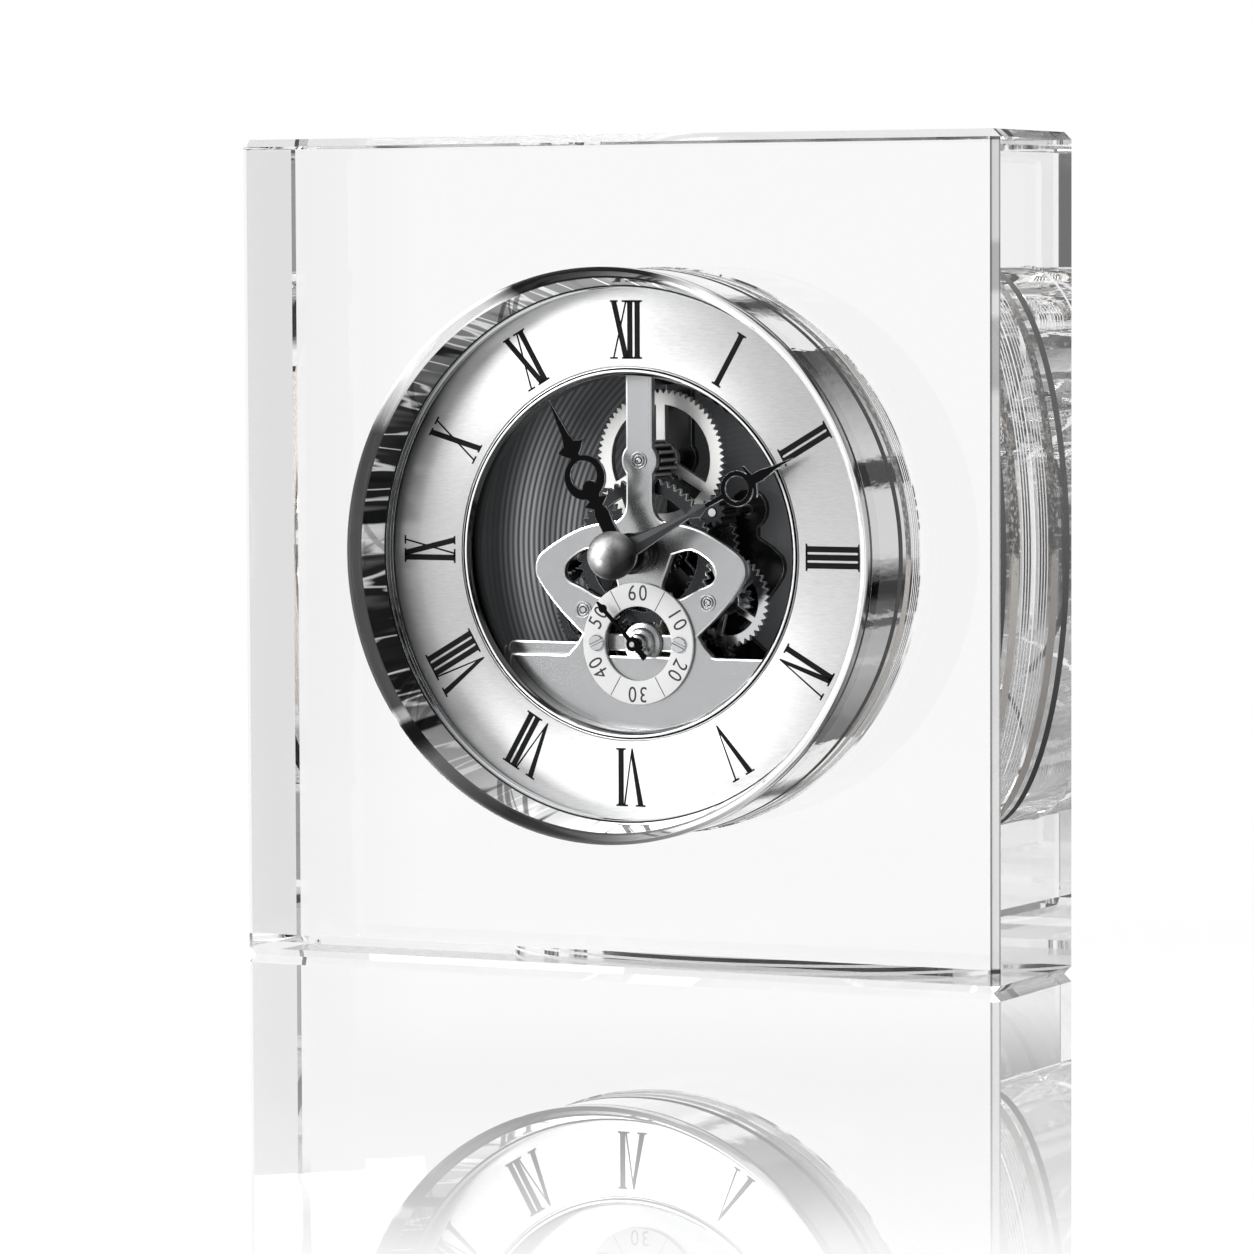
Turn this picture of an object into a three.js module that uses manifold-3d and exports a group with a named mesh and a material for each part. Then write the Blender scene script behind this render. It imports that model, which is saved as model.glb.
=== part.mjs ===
// Table clock in a square clear crystal block, with an open-worked movement.
// Millimetres, +Z up, +Y to the back. The origin is the centre of the block's bottom face.
// The insert is modelled along its own axis, with +Z towards the viewer and z = 0
// at the block's front face, and is turned into the bore of the block at the end.
import * as THREE from "three";
import { mergeVertices } from "three/addons/utils/BufferGeometryUtils.js";
import Module from "manifold-3d";

const wasm = await Module();
wasm.setup();

// Crystal block
const blockSide = 120;
const blockDepth = 28.5;
const blockChamfer = 1.1;
const boreRadius = 40.9;

// Clearances
const slipFit = 0.2;
const seatGap = 0.1;
const runFit = 0.1;
const faceGap = 0.02;
const dialSeat = 0.15;

// Facets round a full turn
const ringFacets = 48;
const rearFacets = 36;
const boreFacets = 72;
const collarFacets = 20;
const pinFacets = 10;

// Bezel: flange on the glass, sloping rim, polished wall down to the dial
const rimFront = 2.8;
const rimOverlap = 0.3;
const rimEdge = 0.35;
const rimLand = 0.25;
const rimSlopeEnd = 1.1;
const throatStep = 1.0;
const lipStep = 2.75;
const lipZ = -6.2;
const bezelWall = 1.5;
const barrelEnd = -15.3;

// Dial and the trim ring round its window
const dialThickness = 1.0;
const dialEdgeCover = 0.75;
const windowRadius = 27.0;
const trimFit = 0.15;
const trimLand = 0.65;
const trimBevelWidth = 0.6;
const trimFlangeWidth = 1.8;
const trimBevelDepth = 0.6;

// Rear case: spigot inside the bezel, grip band in a groove, threaded ring, cover
const caseWall = 1.6;
const collarFit = 0.3;
const collarFront = -17.8;
const collarWidth = 1.9;
const grooveDepth = 1.4;
const grooveWidth = 2.8;
const rearCollarWidth = 1.2;
const skirtStep = 2.2;
const skirtEnd = -26.2;
const gripFit = 0.12;
const gripRounding = 0.5;
const backRingFit = 0.4;
const backRingEnd = -28.2;
const backLip = 0.5;
const coverThickness = 1.05;
const coverBossRadius = 1.8;
const coverBossHeight = 1.3;

// Movement plates
const frontPlateZ = -10.0;
const frontPlateThickness = 1.2;
const backPlateZ = -23.4;
const backPlateThickness = 1.2;
const barHalfWidth = 2.04;
const barTop = 28.0;
const bearingBulge = 2.75;
const lozengeTipX = 16.8;
const lozengeTipZ = -2.4;
const lozengeShoulderX = 9.6;
const lozengeShoulderZ = 3.35;
const lozengeNeckX = 3.4;
const lozengeNeckZ = 4.7;
const lozengeFootX = 9.2;
const lozengeFootZ = -11.9;
const legFootX = 11.5;
const segmentTop = -15.0;
const segmentRadius = 33.0;
const subdialHoleRadius = 5.6;
const cutoutTipX = 12.6;
const cutoutTipZ = -3.0;
const cutoutTopZ = 0.2;
const cutoutInnerX = 5.2;
const cutoutBottomX = 6.4;
const cutoutBottomZ = -6.6;
const cutoutHubX = 3.4;
const cutoutHubZ = -4.9;
const lozengeTipRun = 1.3;
const lozengeTipRise = 2.4;
const lozengeTipTurn = 0.9;
const lozengeFlankX = 0.2;
const lozengeFlankZ = 1.4;
const legBendX = 0.3;
const legBendZ = 0.5;
const neckFlare = 1.6;
const neckDrop = 0.6;
const neckRise = 2.6;
const backBarStep = 1.2;
const pillarRadius = 1.0;
const topPillarInset = 2.9;
const tipPillarInset = 2.1;
const leftPillarInset = 1.5;
const leftPillarDrop = 1.3;
const rightPillarX = 12.8;
const rightPillarDrop = 1.6;
const footLeft = -17.9;
const footRight = 14.2;
const footBottom = -20.3;
const settingLobeRadius = 3.0;

// Arbor positions in the plate, seen from the front, x to the right and y up
const centreArbor = [0, 0];
const greatArborAt = [0, 13.3];
const secondsArborAt = [0, -13.1];
const thirdArborAt = [10.9, -7.0];
const relayArborAt = [5.6, -16.0];
const motorArborAt = [-9.0, -8.4];
const settingAngle = THREE.MathUtils.degToRad(28.2);
const rotorAngle = THREE.MathUtils.degToRad(250);

// Teeth of the motion work and the setting work
const cannonTeeth = 22;
const greatTeeth = 66;
const ribbedTeeth = 14;
const hourTeeth = 56;
const settingTeeth = 10;

// Teeth of the seconds train
const rotorTeeth = 6;
const motorTeeth = 60;
const motorPinionTeeth = 10;
const secondsTeeth = 30;
const secondsPinionTeeth = 10;
const relayTeeth = 36;
const relayPinionTeeth = 12;
const sleeveTeeth = 36;
const sleevePinionTeeth = 36;
const thirdTeeth = 40;
const thirdPinionTeeth = 12;
const centreTeeth = 60;

// Tooth form, in modules
const addendum = 0.7;
const dedendum = 1.1;
const tipWidth = 0.4;

// Wheel planes, the front of each wheel
const wheelThickness = 0.8;
const planeStep = 1.6;
const motorStep = 1.4;
const hourPlane = -11.6;
const secondsPlane = hourPlane - planeStep;
const motorPlane = secondsPlane - motorStep;
const thirdPlane = motorPlane - planeStep;
const relayPinionPlane = thirdPlane - planeStep;
const relayPlane = relayPinionPlane - planeStep;
const centrePlane = relayPlane - wheelThickness;
const greatPlane = -17.2;
const greatThickness = 1.2;
const greatRimWidth = 2.1;
const greatHubRadius = 2.6;
const spokeWidth = 1.5;
const spokeCount = 3;
const arborRadius = 0.6;
const pivotRadius = 0.4;
const studRadius = 0.5;
const hubRadius = 1.3;
const drumRadius = 1.55;
const greatDrumLength = 3.4;
const pivotLength = 0.6;

// Hub of the hands
const ballRadius = 3.5;
const ballZ = -1.0;
const ballBack = -2.85;
const minuteArborRadius = 0.8;
const minuteHandZ = -2.95;
const hourHandZ = -3.95;
const handThickness = 0.5;
const secondsHandZ = -7.7;
const secondsHandThickness = 0.35;
const hourPipeRadius = 1.7;
const pipeStep = 0.5;
const centreBushRadius = 3.0;
const centreBushFront = -6.4;
const centreBushBevel = 0.5;

// Hands as they stand, clockwise from twelve
const hourAngle = THREE.MathUtils.degToRad(-27.5);
const minuteAngle = THREE.MathUtils.degToRad(62.7);
const secondsAngle = THREE.MathUtils.degToRad(-43.9);

// Hour hand: stem, spurs, open moon, leaf-shaped blade
const hourLength = 24.9;
const hourMoonAt = 12.4;
const hourMoonRadius = 3.15;
const hourMoonHole = 2.2;
const hourMoonCusp = 1.25;
const hourStemHalf = 1.5;
const hourSpurAt = 9.3;
const hourSpurHalf = 1.95;
const hourStemBack = 4.6;
const hourStemSwell = 2.2;
const hourCrownAt = 16.9;
const hourCrownHalf = 2.2;
const hourBladeHalf = 0.85;
const handHubRadius = 2.6;

// Minute hand: tapered wedge, lozenge, open ring, barbs, blade
const minuteLength = 30.9;
const minuteRingAt = 21.2;
const minuteRingRadius = 2.6;
const minuteRingHole = 1.75;
const minuteWedgeHalf = 1.4;
const minuteWedgeEnd = 12.6;
const minuteLozengeAt = 14.1;
const minuteLozengeHalf = 1.1;
const minuteStemHalf = 0.42;
const minuteBarbAt = 23.9;
const minuteBarbHalf = 2.5;
const minuteBladeHalf = 0.75;

// Seconds hand
const secondsLength = 8.33;
const secondsTail = 2.8;
const secondsBeadAt = 7.0;
const secondsBeadRadius = 0.62;
const secondsStemHalf = 0.28;
const secondsHubRadius = 1.05;

// Seconds dial and its screws, and the cock behind it
const cockWidth = 2.4;
const cockThickness = 1.0;
const cockReach = 2;
const subdialRadius = 8.8;
const subdialInner = 5.4;
const subdialThickness = 0.5;
const subdialScrewX = 6.9;
const screwHeadRadius = 1.15;
const screwHeadHeight = 0.35;
const slotWidth = 0.3;
const slotDepth = 0.18;

// Bearing bushes in the front plate
const bearingRadius = 1.25;
const bearingProud = 0.2;

// Power: a size N cell lying across the bottom, its cradle, contacts and door
const cellRadius = 6.0;
const cellLength = 30.2;
const cellHeight = -27.3;
const cellZ = -18.4;
const cellRounding = 0.4;
const cellNibRadius = 2.0;
const cellNibLength = 0.9;
const cradleEndWall = 0.8;
const cradleFloor = 0.5;
const cradleTop = -21.3;
const contactThickness = 0.3;
const doorGap = 0.2;
const doorOverCell = 0.6;

// Motor and electronics
const rotorRadius = 2.2;
const rotorLength = 3.0;
const statorThickness = 0.9;
const statorRim = 1.6;
const statorTab = 2.4;
const coreWidth = 1.4;
const coreOverhang = 8;
const coilReach = 4.2;
const coilDrop = 4.7;
const coilRadius = 1.9;
const coilLength = 9.0;
const coilFlangeRadius = 2.2;
const coilFlange = 0.6;
const boardLength = 9.5;
const boardHeight = 5.0;
const boardThickness = 0.8;
const boardX = 23.2;
const boardY = -17.6;
const boardStand = 2;
const tongueLength = 7;
const tongueWidth = 2;
const crystalRadius = 1.0;
const crystalLength = 6.0;
const crystalOffset = 0.6;

// Setting knob behind the cover
const knobRadius = 5.5;
const knobFlutes = 14;
const knobFlute = 0.35;
const knobFlat = 0.3;
const knobRear = -(blockDepth + rimFront);
const knobHeight = 3.2;
const settingPinionLength = 5.2;

// Places that follow from the ones above
const barrelRadius = boreRadius - slipFit;
const bezelBore = barrelRadius - bezelWall;
const throatRadius = boreRadius - throatStep;
const lipRadius = boreRadius - lipStep;
const collarRadius = boreRadius - collarFit;
const grooveRadius = collarRadius - grooveDepth;
const skirtRadius = collarRadius - skirtStep;
const gripRadius = boreRadius - gripFit;
const backRingRadius = boreRadius - backRingFit;
const caseBore = bezelBore - slipFit - caseWall;
const trimLipRadius = windowRadius - trimFit;
const trimBevelRadius = trimLipRadius - trimLand;
const sightRadius = trimBevelRadius - trimBevelWidth;
const trimFlangeRadius = windowRadius + trimFlangeWidth;
const dialFront = lipZ - dialSeat;
const dialBack = dialFront - dialThickness;
const dialRadius = lipRadius + dialEdgeCover;
const plateBack = frontPlateZ - frontPlateThickness;
const caseFront = dialBack - seatGap;
const grooveFront = collarFront - collarWidth;
const grooveBack = grooveFront - grooveWidth;
const rearCollarBack = grooveBack - rearCollarWidth;
const backRingFront = rearCollarBack - slipFit;
const coverFront = skirtEnd - seatGap;
const coverBack = coverFront - coverThickness;
const coverRadius = skirtRadius;
const doorHalfX = cellLength / 2 + doorOverCell + contactThickness;
const doorTop = cellHeight + cellRadius + slipFit;
const doorBottom = cellHeight - cellRadius - slipFit;

// Materials
function finish(color, metalness, roughness) {
  return new THREE.MeshStandardMaterial({ color, metalness, roughness });
}
const clearCrystal = finish(0xeef4f3, 0, 0.02);
const chromedBrass = finish(0xd6d8da, 1, 0.08);
const silveredDial = finish(0xd9d9d6, 1, 0.35);
const polishedSteel = finish(0xc9cbcd, 1, 0.15);
const turnedCase = finish(0x9a9c9e, 1, 0.3);
const gripRubber = finish(0x1a1a1b, 0, 0.8);
const darkCover = finish(0x3b3c3e, 1, 0.25);
const blackPlate = finish(0x17181a, 0, 0.3);
const blackSteel = finish(0x111214, 0, 0.3);
const silveredWheel = finish(0xdededb, 1, 0.35);
const yellowBrass = finish(0xb9954a, 1, 0.3);
const blackPlastic = finish(0x1c1d1f, 0, 0.5);
const cellJacket = finish(0x6d7075, 0, 0.4);
const copperWire = finish(0xa6592e, 1, 0.4);
const boardGreen = finish(0x1f5a3a, 0, 0.5);
const magnetGrey = finish(0x55585c, 1, 0.4);

// Solid helpers
function toSolid(geometry) {
  const bare = geometry.clone();
  bare.deleteAttribute("normal");
  bare.deleteAttribute("uv");
  const merged = mergeVertices(bare, 1e-5);
  const index = merged.index.array;
  const at = merged.attributes.position.array;
  const kept = [];
  let volume = 0;
  for (let i = 0; i < index.length; i += 3) {
    const [a, b, c] = [index[i], index[i + 1], index[i + 2]];
    if (a === b || b === c || c === a) continue;
    kept.push(a, b, c);
    const va = new THREE.Vector3().fromArray(at, 3 * a);
    const vb = new THREE.Vector3().fromArray(at, 3 * b);
    const vc = new THREE.Vector3().fromArray(at, 3 * c);
    volume += va.dot(vb.cross(vc)) / 6;
  }
  if (volume < 0) kept.reverse();
  return new wasm.Manifold(
    new wasm.Mesh({
      numProp: 3,
      vertProperties: new Float32Array(at),
      triVerts: new Uint32Array(kept),
    }),
  );
}

function toGeometry(solid) {
  const mesh = solid.getMesh();
  const geometry = new THREE.BufferGeometry();
  geometry.setAttribute(
    "position",
    new THREE.BufferAttribute(new Float32Array(mesh.vertProperties), 3),
  );
  geometry.setIndex(new THREE.BufferAttribute(new Uint32Array(mesh.triVerts), 1));
  geometry.computeVertexNormals();
  return geometry;
}

function join(first, ...others) {
  return others.reduce((sum, other) => sum.add(other), first);
}

function cut(first, ...others) {
  return others.reduce((rest, other) => rest.subtract(other), first);
}

// A ring or solid turned about the insert's axis from pairs of radius and height
function turned(profile, facets = ringFacets, at = centreArbor) {
  const points = profile.map(([radius, z]) => new THREE.Vector2(radius, z));
  if (profile[0][0] > 0) points.push(points[0].clone());
  const geometry = new THREE.LatheGeometry(points, facets);
  geometry.rotateX(Math.PI / 2);
  geometry.translate(at[0], at[1], 0);
  return toSolid(geometry);
}

function rod(radius, front, back, at = centreArbor, facets = pinFacets) {
  const profile = [
    [0, front],
    [radius, front],
    [radius, back],
    [0, back],
  ];
  return turned(profile, facets, at);
}

function tube(outer, inner, front, back, at = centreArbor, facets = collarFacets) {
  const profile = [
    [inner, front],
    [outer, front],
    [outer, back],
    [inner, back],
  ];
  return turned(profile, facets, at);
}

function slab(width, height, front, back, at) {
  const geometry = new THREE.BoxGeometry(width, height, front - back);
  geometry.translate(at[0], at[1], (front + back) / 2);
  return toSolid(geometry);
}

function plateOf(shape, front, back, curveSegments = 10) {
  const depth = front - back;
  const options = { depth, bevelEnabled: false, curveSegments };
  const geometry = new THREE.ExtrudeGeometry(shape, options);
  geometry.translate(0, 0, back);
  return toSolid(geometry);
}

function polygon(points) {
  return new THREE.Shape(points.map(([x, y]) => new THREE.Vector2(x, y)));
}

function circle(radius, at = centreArbor) {
  const shape = new THREE.Shape();
  shape.absarc(at[0], at[1], radius, 0, 2 * Math.PI, false);
  return shape;
}

// Gear helpers
function distance(a, b) {
  return Math.hypot(b[0] - a[0], b[1] - a[1]);
}

function bearingOf(from, to) {
  return Math.atan2(to[1] - from[1], to[0] - from[0]);
}

function moduleOf(from, to, teethFrom, teethTo) {
  return (2 * distance(from, to)) / (teethFrom + teethTo);
}

function pointAt(from, angle, reach) {
  return [from[0] + reach * Math.cos(angle), from[1] + reach * Math.sin(angle)];
}

// The phase that puts a gap of the driven gear on a tooth of the driving gear
function meshPhase(from, teethFrom, phaseFrom, to, teethTo) {
  const angle = bearingOf(from, to);
  const turnsFrom = ((angle - phaseFrom) * teethFrom) / (2 * Math.PI);
  return angle + Math.PI - ((0.5 - turnsFrom) * 2 * Math.PI) / teethTo;
}

function toothed(teeth, module, phase, at, front, back, pointed = false) {
  const pitch = (teeth * module) / 2;
  const tip = pitch + addendum * module;
  const root = pitch - dedendum * module;
  const halfTip = (tipWidth * module) / 2 / tip;
  const step = (2 * Math.PI) / teeth;
  const points = [];
  for (let tooth = 0; tooth < teeth; tooth += 1) {
    const angle = phase + tooth * step;
    if (pointed) points.push(pointAt(at, angle, tip));
    else points.push(pointAt(at, angle - halfTip, tip), pointAt(at, angle + halfTip, tip));
    points.push(pointAt(at, angle + step / 2, root));
  }
  return plateOf(polygon(points), front, back);
}

// Places of the two arbors that follow from their gears
const ribbedModule = moduleOf(centreArbor, greatArborAt, ribbedTeeth, hourTeeth);
const settingReach = (ribbedModule * (hourTeeth + settingTeeth)) / 2;
const settingArborAt = pointAt(centreArbor, settingAngle, settingReach);
const thirdModule = moduleOf(secondsArborAt, thirdArborAt, sleevePinionTeeth, thirdTeeth);
const motorModule = 0.2233;
const rotorReach = (motorModule * (motorTeeth + rotorTeeth)) / 2;
const rotorAt = pointAt(motorArborAt, rotorAngle, rotorReach);
const pillarPlaces = [
  [0, barTop - topPillarInset],
  [tipPillarInset - lozengeTipX, lozengeTipZ],
  [leftPillarInset + footLeft, segmentTop - leftPillarDrop],
  [rightPillarX, segmentTop - rightPillarDrop],
];

// The assembly
const clock = new THREE.Group();
clock.name = "crystal_table_clock";
const insert = new THREE.Group();
insert.name = "clock_insert";

function place(group, name, solid, material) {
  const mesh = new THREE.Mesh(toGeometry(solid), material);
  mesh.name = name;
  group.add(mesh);
}

// Square prism along one axis with its four long edges chamfered
function chamferedPrism(width, height, length) {
  const [x, y, c] = [width / 2, height / 2, blockChamfer];
  const outline = [
    [x - c, -y],
    [x, c - y],
    [x, y - c],
    [x - c, y],
    [c - x, y],
    [-x, y - c],
    [-x, c - y],
    [c - x, -y],
  ];
  const options = { depth: length, bevelEnabled: false };
  const geometry = new THREE.ExtrudeGeometry(polygon(outline), options);
  geometry.translate(0, 0, -length / 2);
  return geometry;
}

function crystalBlock() {
  const along = chamferedPrism(blockSide, blockSide, blockDepth);
  const up = chamferedPrism(blockSide, blockDepth, blockSide);
  up.rotateX(Math.PI / 2);
  const across = chamferedPrism(blockDepth, blockSide, blockSide);
  across.rotateY(Math.PI / 2);
  const block = toSolid(along).intersect(toSolid(up)).intersect(toSolid(across));
  const bore = new THREE.CylinderGeometry(boreRadius, boreRadius, 2 * blockDepth, boreFacets);
  bore.rotateX(Math.PI / 2);
  const geometry = toGeometry(cut(block, toSolid(bore)));
  geometry.rotateX(Math.PI / 2);
  geometry.translate(0, 0, blockSide / 2);
  return geometry;
}

function bezelRing() {
  return turned([
    [barrelRadius, seatGap],
    [boreRadius + rimOverlap, seatGap],
    [boreRadius + rimOverlap, rimFront - rimEdge],
    [boreRadius + rimOverlap - rimEdge + rimLand / 2, rimFront],
    [boreRadius + rimOverlap - rimEdge - rimLand, rimFront],
    [throatRadius, rimSlopeEnd],
    [lipRadius, lipZ],
    [bezelBore, lipZ],
    [bezelBore, barrelEnd],
    [barrelRadius, barrelEnd],
  ]);
}

function dialRing() {
  return tube(dialRadius, windowRadius, dialFront, dialBack, centreArbor, ringFacets);
}

function windowTrimRing() {
  const flangeFront = dialBack - seatGap;
  const flangeBack = frontPlateZ + seatGap;
  const ring = turned([
    [trimBevelRadius, dialFront],
    [trimLipRadius, dialFront],
    [trimLipRadius, flangeFront],
    [trimFlangeRadius, flangeFront],
    [trimFlangeRadius, flangeBack],
    [sightRadius, flangeBack],
    [sightRadius, dialFront - trimBevelDepth],
  ]);
  return ring;
}

function rearCase() {
  return turned([
    [caseBore, caseFront],
    [bezelBore - slipFit, caseFront],
    [bezelBore - slipFit, collarFront],
    [collarRadius, collarFront],
    [collarRadius, grooveFront],
    [grooveRadius - slipFit, grooveFront],
    [grooveRadius - slipFit, grooveBack],
    [collarRadius, grooveBack],
    [collarRadius, rearCollarBack],
    [skirtRadius, rearCollarBack],
    [skirtRadius, skirtEnd],
    [caseBore, skirtEnd],
  ], rearFacets);
}

function gripBand() {
  const front = grooveFront - slipFit;
  const back = grooveBack + slipFit;
  return turned([
    [grooveRadius, front],
    [gripRadius - gripRounding, front],
    [gripRadius, front - gripRounding],
    [gripRadius, back + gripRounding],
    [gripRadius - gripRounding, back],
    [grooveRadius, back],
  ], rearFacets);
}

function backRing() {
  return turned([
    [coverRadius + slipFit, backRingFront],
    [backRingRadius, backRingFront],
    [backRingRadius, backRingEnd],
    [coverRadius - 2 * backLip, backRingEnd],
    [coverRadius - 2 * backLip, coverBack - seatGap],
    [coverRadius + slipFit, coverBack - seatGap],
  ], rearFacets);
}

function backCover() {
  const disc = rod(coverRadius, coverFront, coverBack, centreArbor, rearFacets);
  const boss = rod(coverBossRadius, coverFront + coverBossHeight, coverBack, greatArborAt);
  const pivot = rod(pivotRadius + runFit, 0, coverFront + seatGap, greatArborAt);
  const shaft = rod(arborRadius + runFit, 0, backRingEnd, settingArborAt);
  const height = doorTop - doorBottom + 2 * doorGap;
  const middle = [0, (doorTop + doorBottom) / 2];
  const width = 2 * (doorHalfX + doorGap);
  const hatch = slab(width, height, 0, backRingEnd, middle);
  return cut(join(disc, boss), pivot, shaft, hatch);
}

function batteryDoor() {
  const middle = [0, (doorTop + doorBottom) / 2];
  const panel = slab(2 * doorHalfX, doorTop - doorBottom, coverFront, coverBack, middle);
  const grip = slab(doorHalfX / 2, slotWidth * 4, 0, coverBack + slotWidth, middle);
  return cut(panel, grip.translate([0, 0, coverBack - coverFront]));
}

// Half outlines of the plates, mirrored into closed ones
function mirrored(right) {
  const left = right.map(([x, y]) => [-x, y]).reverse();
  return right.concat(left);
}

function lozengeHalf() {
  const flankX = (lozengeTipX + lozengeFootX) / 2 - lozengeFlankX;
  const flankZ = (lozengeTipZ + lozengeFootZ) / 2 - lozengeFlankZ;
  const curve = new THREE.SplineCurve([
    new THREE.Vector2(lozengeNeckX, lozengeNeckZ),
    new THREE.Vector2(lozengeShoulderX, lozengeShoulderZ),
    new THREE.Vector2(lozengeTipX - lozengeTipRun, lozengeTipZ + lozengeTipRise),
    new THREE.Vector2(lozengeTipX, lozengeTipZ),
    new THREE.Vector2(lozengeTipX - lozengeTipTurn, lozengeTipZ - lozengeTipRise),
    new THREE.Vector2(flankX, flankZ),
    new THREE.Vector2(lozengeFootX, lozengeFootZ),
  ]);
  return curve.getPoints(13).map((point) => [point.x, point.y]);
}

function barShape(top) {
  return polygon([
    [-barHalfWidth, 0],
    [barHalfWidth, 0],
    [barHalfWidth, top],
    [-barHalfWidth, top],
  ]);
}

function frontPlate() {
  const lozenge = lozengeHalf().concat([
    [(lozengeFootX + legFootX) / 2 - legBendX, (lozengeFootZ + segmentTop) / 2 - legBendZ],
    [legFootX, segmentTop],
    [legFootX, segmentTop - 1],
  ]);
  const half = Math.asin(-segmentTop / segmentRadius);
  const segment = new THREE.Shape();
  segment.absarc(0, 0, segmentRadius, Math.PI + half, 2 * Math.PI - half, false);
  const hole = circle(subdialHoleRadius, secondsArborAt);
  const below = slab(4 * subdialRadius, subdialRadius, 0, 2 * plateBack, [
    0,
    segmentTop - subdialRadius / 2,
  ]);
  const window = cut(plateOf(hole, 0, 2 * plateBack, 16), below);
  let plate = join(
    plateOf(polygon(mirrored(lozenge)), frontPlateZ, plateBack),
    plateOf(segment, frontPlateZ, plateBack, 14),
    plateOf(barShape(barTop), frontPlateZ, plateBack),
    plateOf(circle(bearingBulge, greatArborAt), frontPlateZ, plateBack, 9),
    neckFillets(),
  );
  plate = cut(plate, window, cutout(1), cutout(-1));
  plate = cut(plate, rod(hourPipeRadius + 2 * slipFit, 0, 2 * plateBack, centreArbor, 20));
  for (const at of [greatArborAt, thirdArborAt, motorArborAt]) {
    plate = cut(plate, rod(bearingRadius - 3 * slipFit, 0, 2 * plateBack, at));
  }
  return plate;
}

// Curved webs where the bar runs into the lozenge
function neckFillets() {
  const shape = new THREE.Shape();
  const [wide, low, high] = [lozengeNeckX + neckFlare, lozengeNeckZ - neckDrop, lozengeNeckZ + neckRise];
  shape.moveTo(-wide, low);
  shape.lineTo(wide, low);
  shape.quadraticCurveTo(barHalfWidth, lozengeNeckZ, barHalfWidth, high);
  shape.lineTo(-barHalfWidth, high);
  shape.quadraticCurveTo(-barHalfWidth, lozengeNeckZ, -wide, low);
  return plateOf(shape, frontPlateZ, plateBack, 5);
}

function cutout(side) {
  const shape = new THREE.Shape();
  shape.moveTo(side * cutoutInnerX, cutoutTopZ - 0.4);
  const shoulderX = side * (cutoutInnerX + 3.4);
  const tipX = side * (cutoutTipX - 1);
  shape.quadraticCurveTo(shoulderX, cutoutTopZ + 0.9, tipX, cutoutTipZ + 1.5);
  shape.quadraticCurveTo(side * (cutoutTipX + 0.6), cutoutTipZ, tipX, cutoutTipZ - 1.3);
  shape.quadraticCurveTo(side * (cutoutBottomX + 2.6), cutoutTipZ - 2, side * cutoutBottomX, cutoutBottomZ);
  shape.quadraticCurveTo(side * (cutoutHubX + 0.8), cutoutBottomZ + 0.2, side * cutoutHubX, cutoutHubZ);
  shape.quadraticCurveTo(side * (cutoutHubX + 0.9), cutoutHubZ + 2.4, side * cutoutInnerX, cutoutTopZ - 0.4);
  return plateOf(shape, 0, 2 * plateBack, 5);
}

function backPlate() {
  const back = backPlateZ - backPlateThickness;
  const shapes = [
    polygon(mirrored(lozengeHalf())),
    barShape(barTop - backBarStep),
    circle(bearingBulge, greatArborAt),
    circle(settingLobeRadius, settingArborAt),
  ];
  const foot = polygon([
    [footLeft, footBottom],
    [footRight, footBottom],
    [footRight, segmentTop],
    [lozengeFootX, lozengeFootZ + 1],
    [-lozengeFootX, lozengeFootZ + 1],
    [footLeft, segmentTop + 1],
  ]);
  const web = slab(settingLobeRadius, 4 * settingLobeRadius, backPlateZ, back, [
    settingArborAt[0],
    settingArborAt[1] - 2 * settingLobeRadius,
  ]);
  let plate = join(web, ...shapes.concat([foot]).map((shape) => plateOf(shape, backPlateZ, back, 8)));
  const holes = [greatArborAt, secondsArborAt, thirdArborAt, motorArborAt, settingArborAt];
  for (const at of holes) {
    plate = cut(plate, rod(arborRadius + runFit, 0, 2 * backPlateZ, at));
  }
  const centreHole = rod(minuteArborRadius + runFit, 0, 2 * backPlateZ, centreArbor, 16);
  return cut(plate, centreHole, rod(pivotRadius + runFit, 0, 2 * backPlateZ, rotorAt));
}

function pillar(at) {
  return rod(pillarRadius, plateBack - seatGap, backPlateZ + seatGap, at);
}

// Dark collar round the pipe of the hour hand
function centreBush() {
  return turned(
    [
      [hourPipeRadius + slipFit, centreBushFront],
      [centreBushRadius - centreBushBevel, centreBushFront],
      [centreBushRadius, centreBushFront - centreBushBevel],
      [centreBushRadius, frontPlateZ + seatGap],
      [hourPipeRadius + slipFit, frontPlateZ + seatGap],
    ],
    collarFacets,
  );
}

function bearing(at) {
  const front = frontPlateZ + bearingProud;
  const flange = tube(bearingRadius, pivotRadius + runFit, front, frontPlateZ + faceGap, at, 14);
  const neck = tube(bearingRadius - 4 * slipFit, pivotRadius + runFit, front, plateBack, at, 14);
  return join(flange, neck);
}

function subdialRing() {
  const front = frontPlateZ + seatGap + subdialThickness;
  const ring = tube(subdialRadius, subdialInner, front, frontPlateZ + seatGap, secondsArborAt, 36);
  const [x, y] = secondsArborAt;
  const right = rod(screwHeadRadius / 2, 0, 2 * frontPlateZ, [x + subdialScrewX, y]);
  const left = rod(screwHeadRadius / 2, 0, 2 * frontPlateZ, [x - subdialScrewX, y]);
  return cut(ring, right, left);
}

function subdialScrew(side) {
  const at = [secondsArborAt[0] + side * subdialScrewX, secondsArborAt[1]];
  const seat = frontPlateZ + seatGap + subdialThickness + faceGap;
  const head = rod(screwHeadRadius, seat + screwHeadHeight, seat, at, 18);
  const shank = rod(screwHeadRadius / 2 - runFit / 2, seat + runFit, frontPlateZ + runFit / 2, at);
  const slot = slab(slotWidth, 3 * screwHeadRadius, 0, seat + screwHeadHeight - slotDepth, at);
  return cut(join(head, shank), slot);
}

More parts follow.
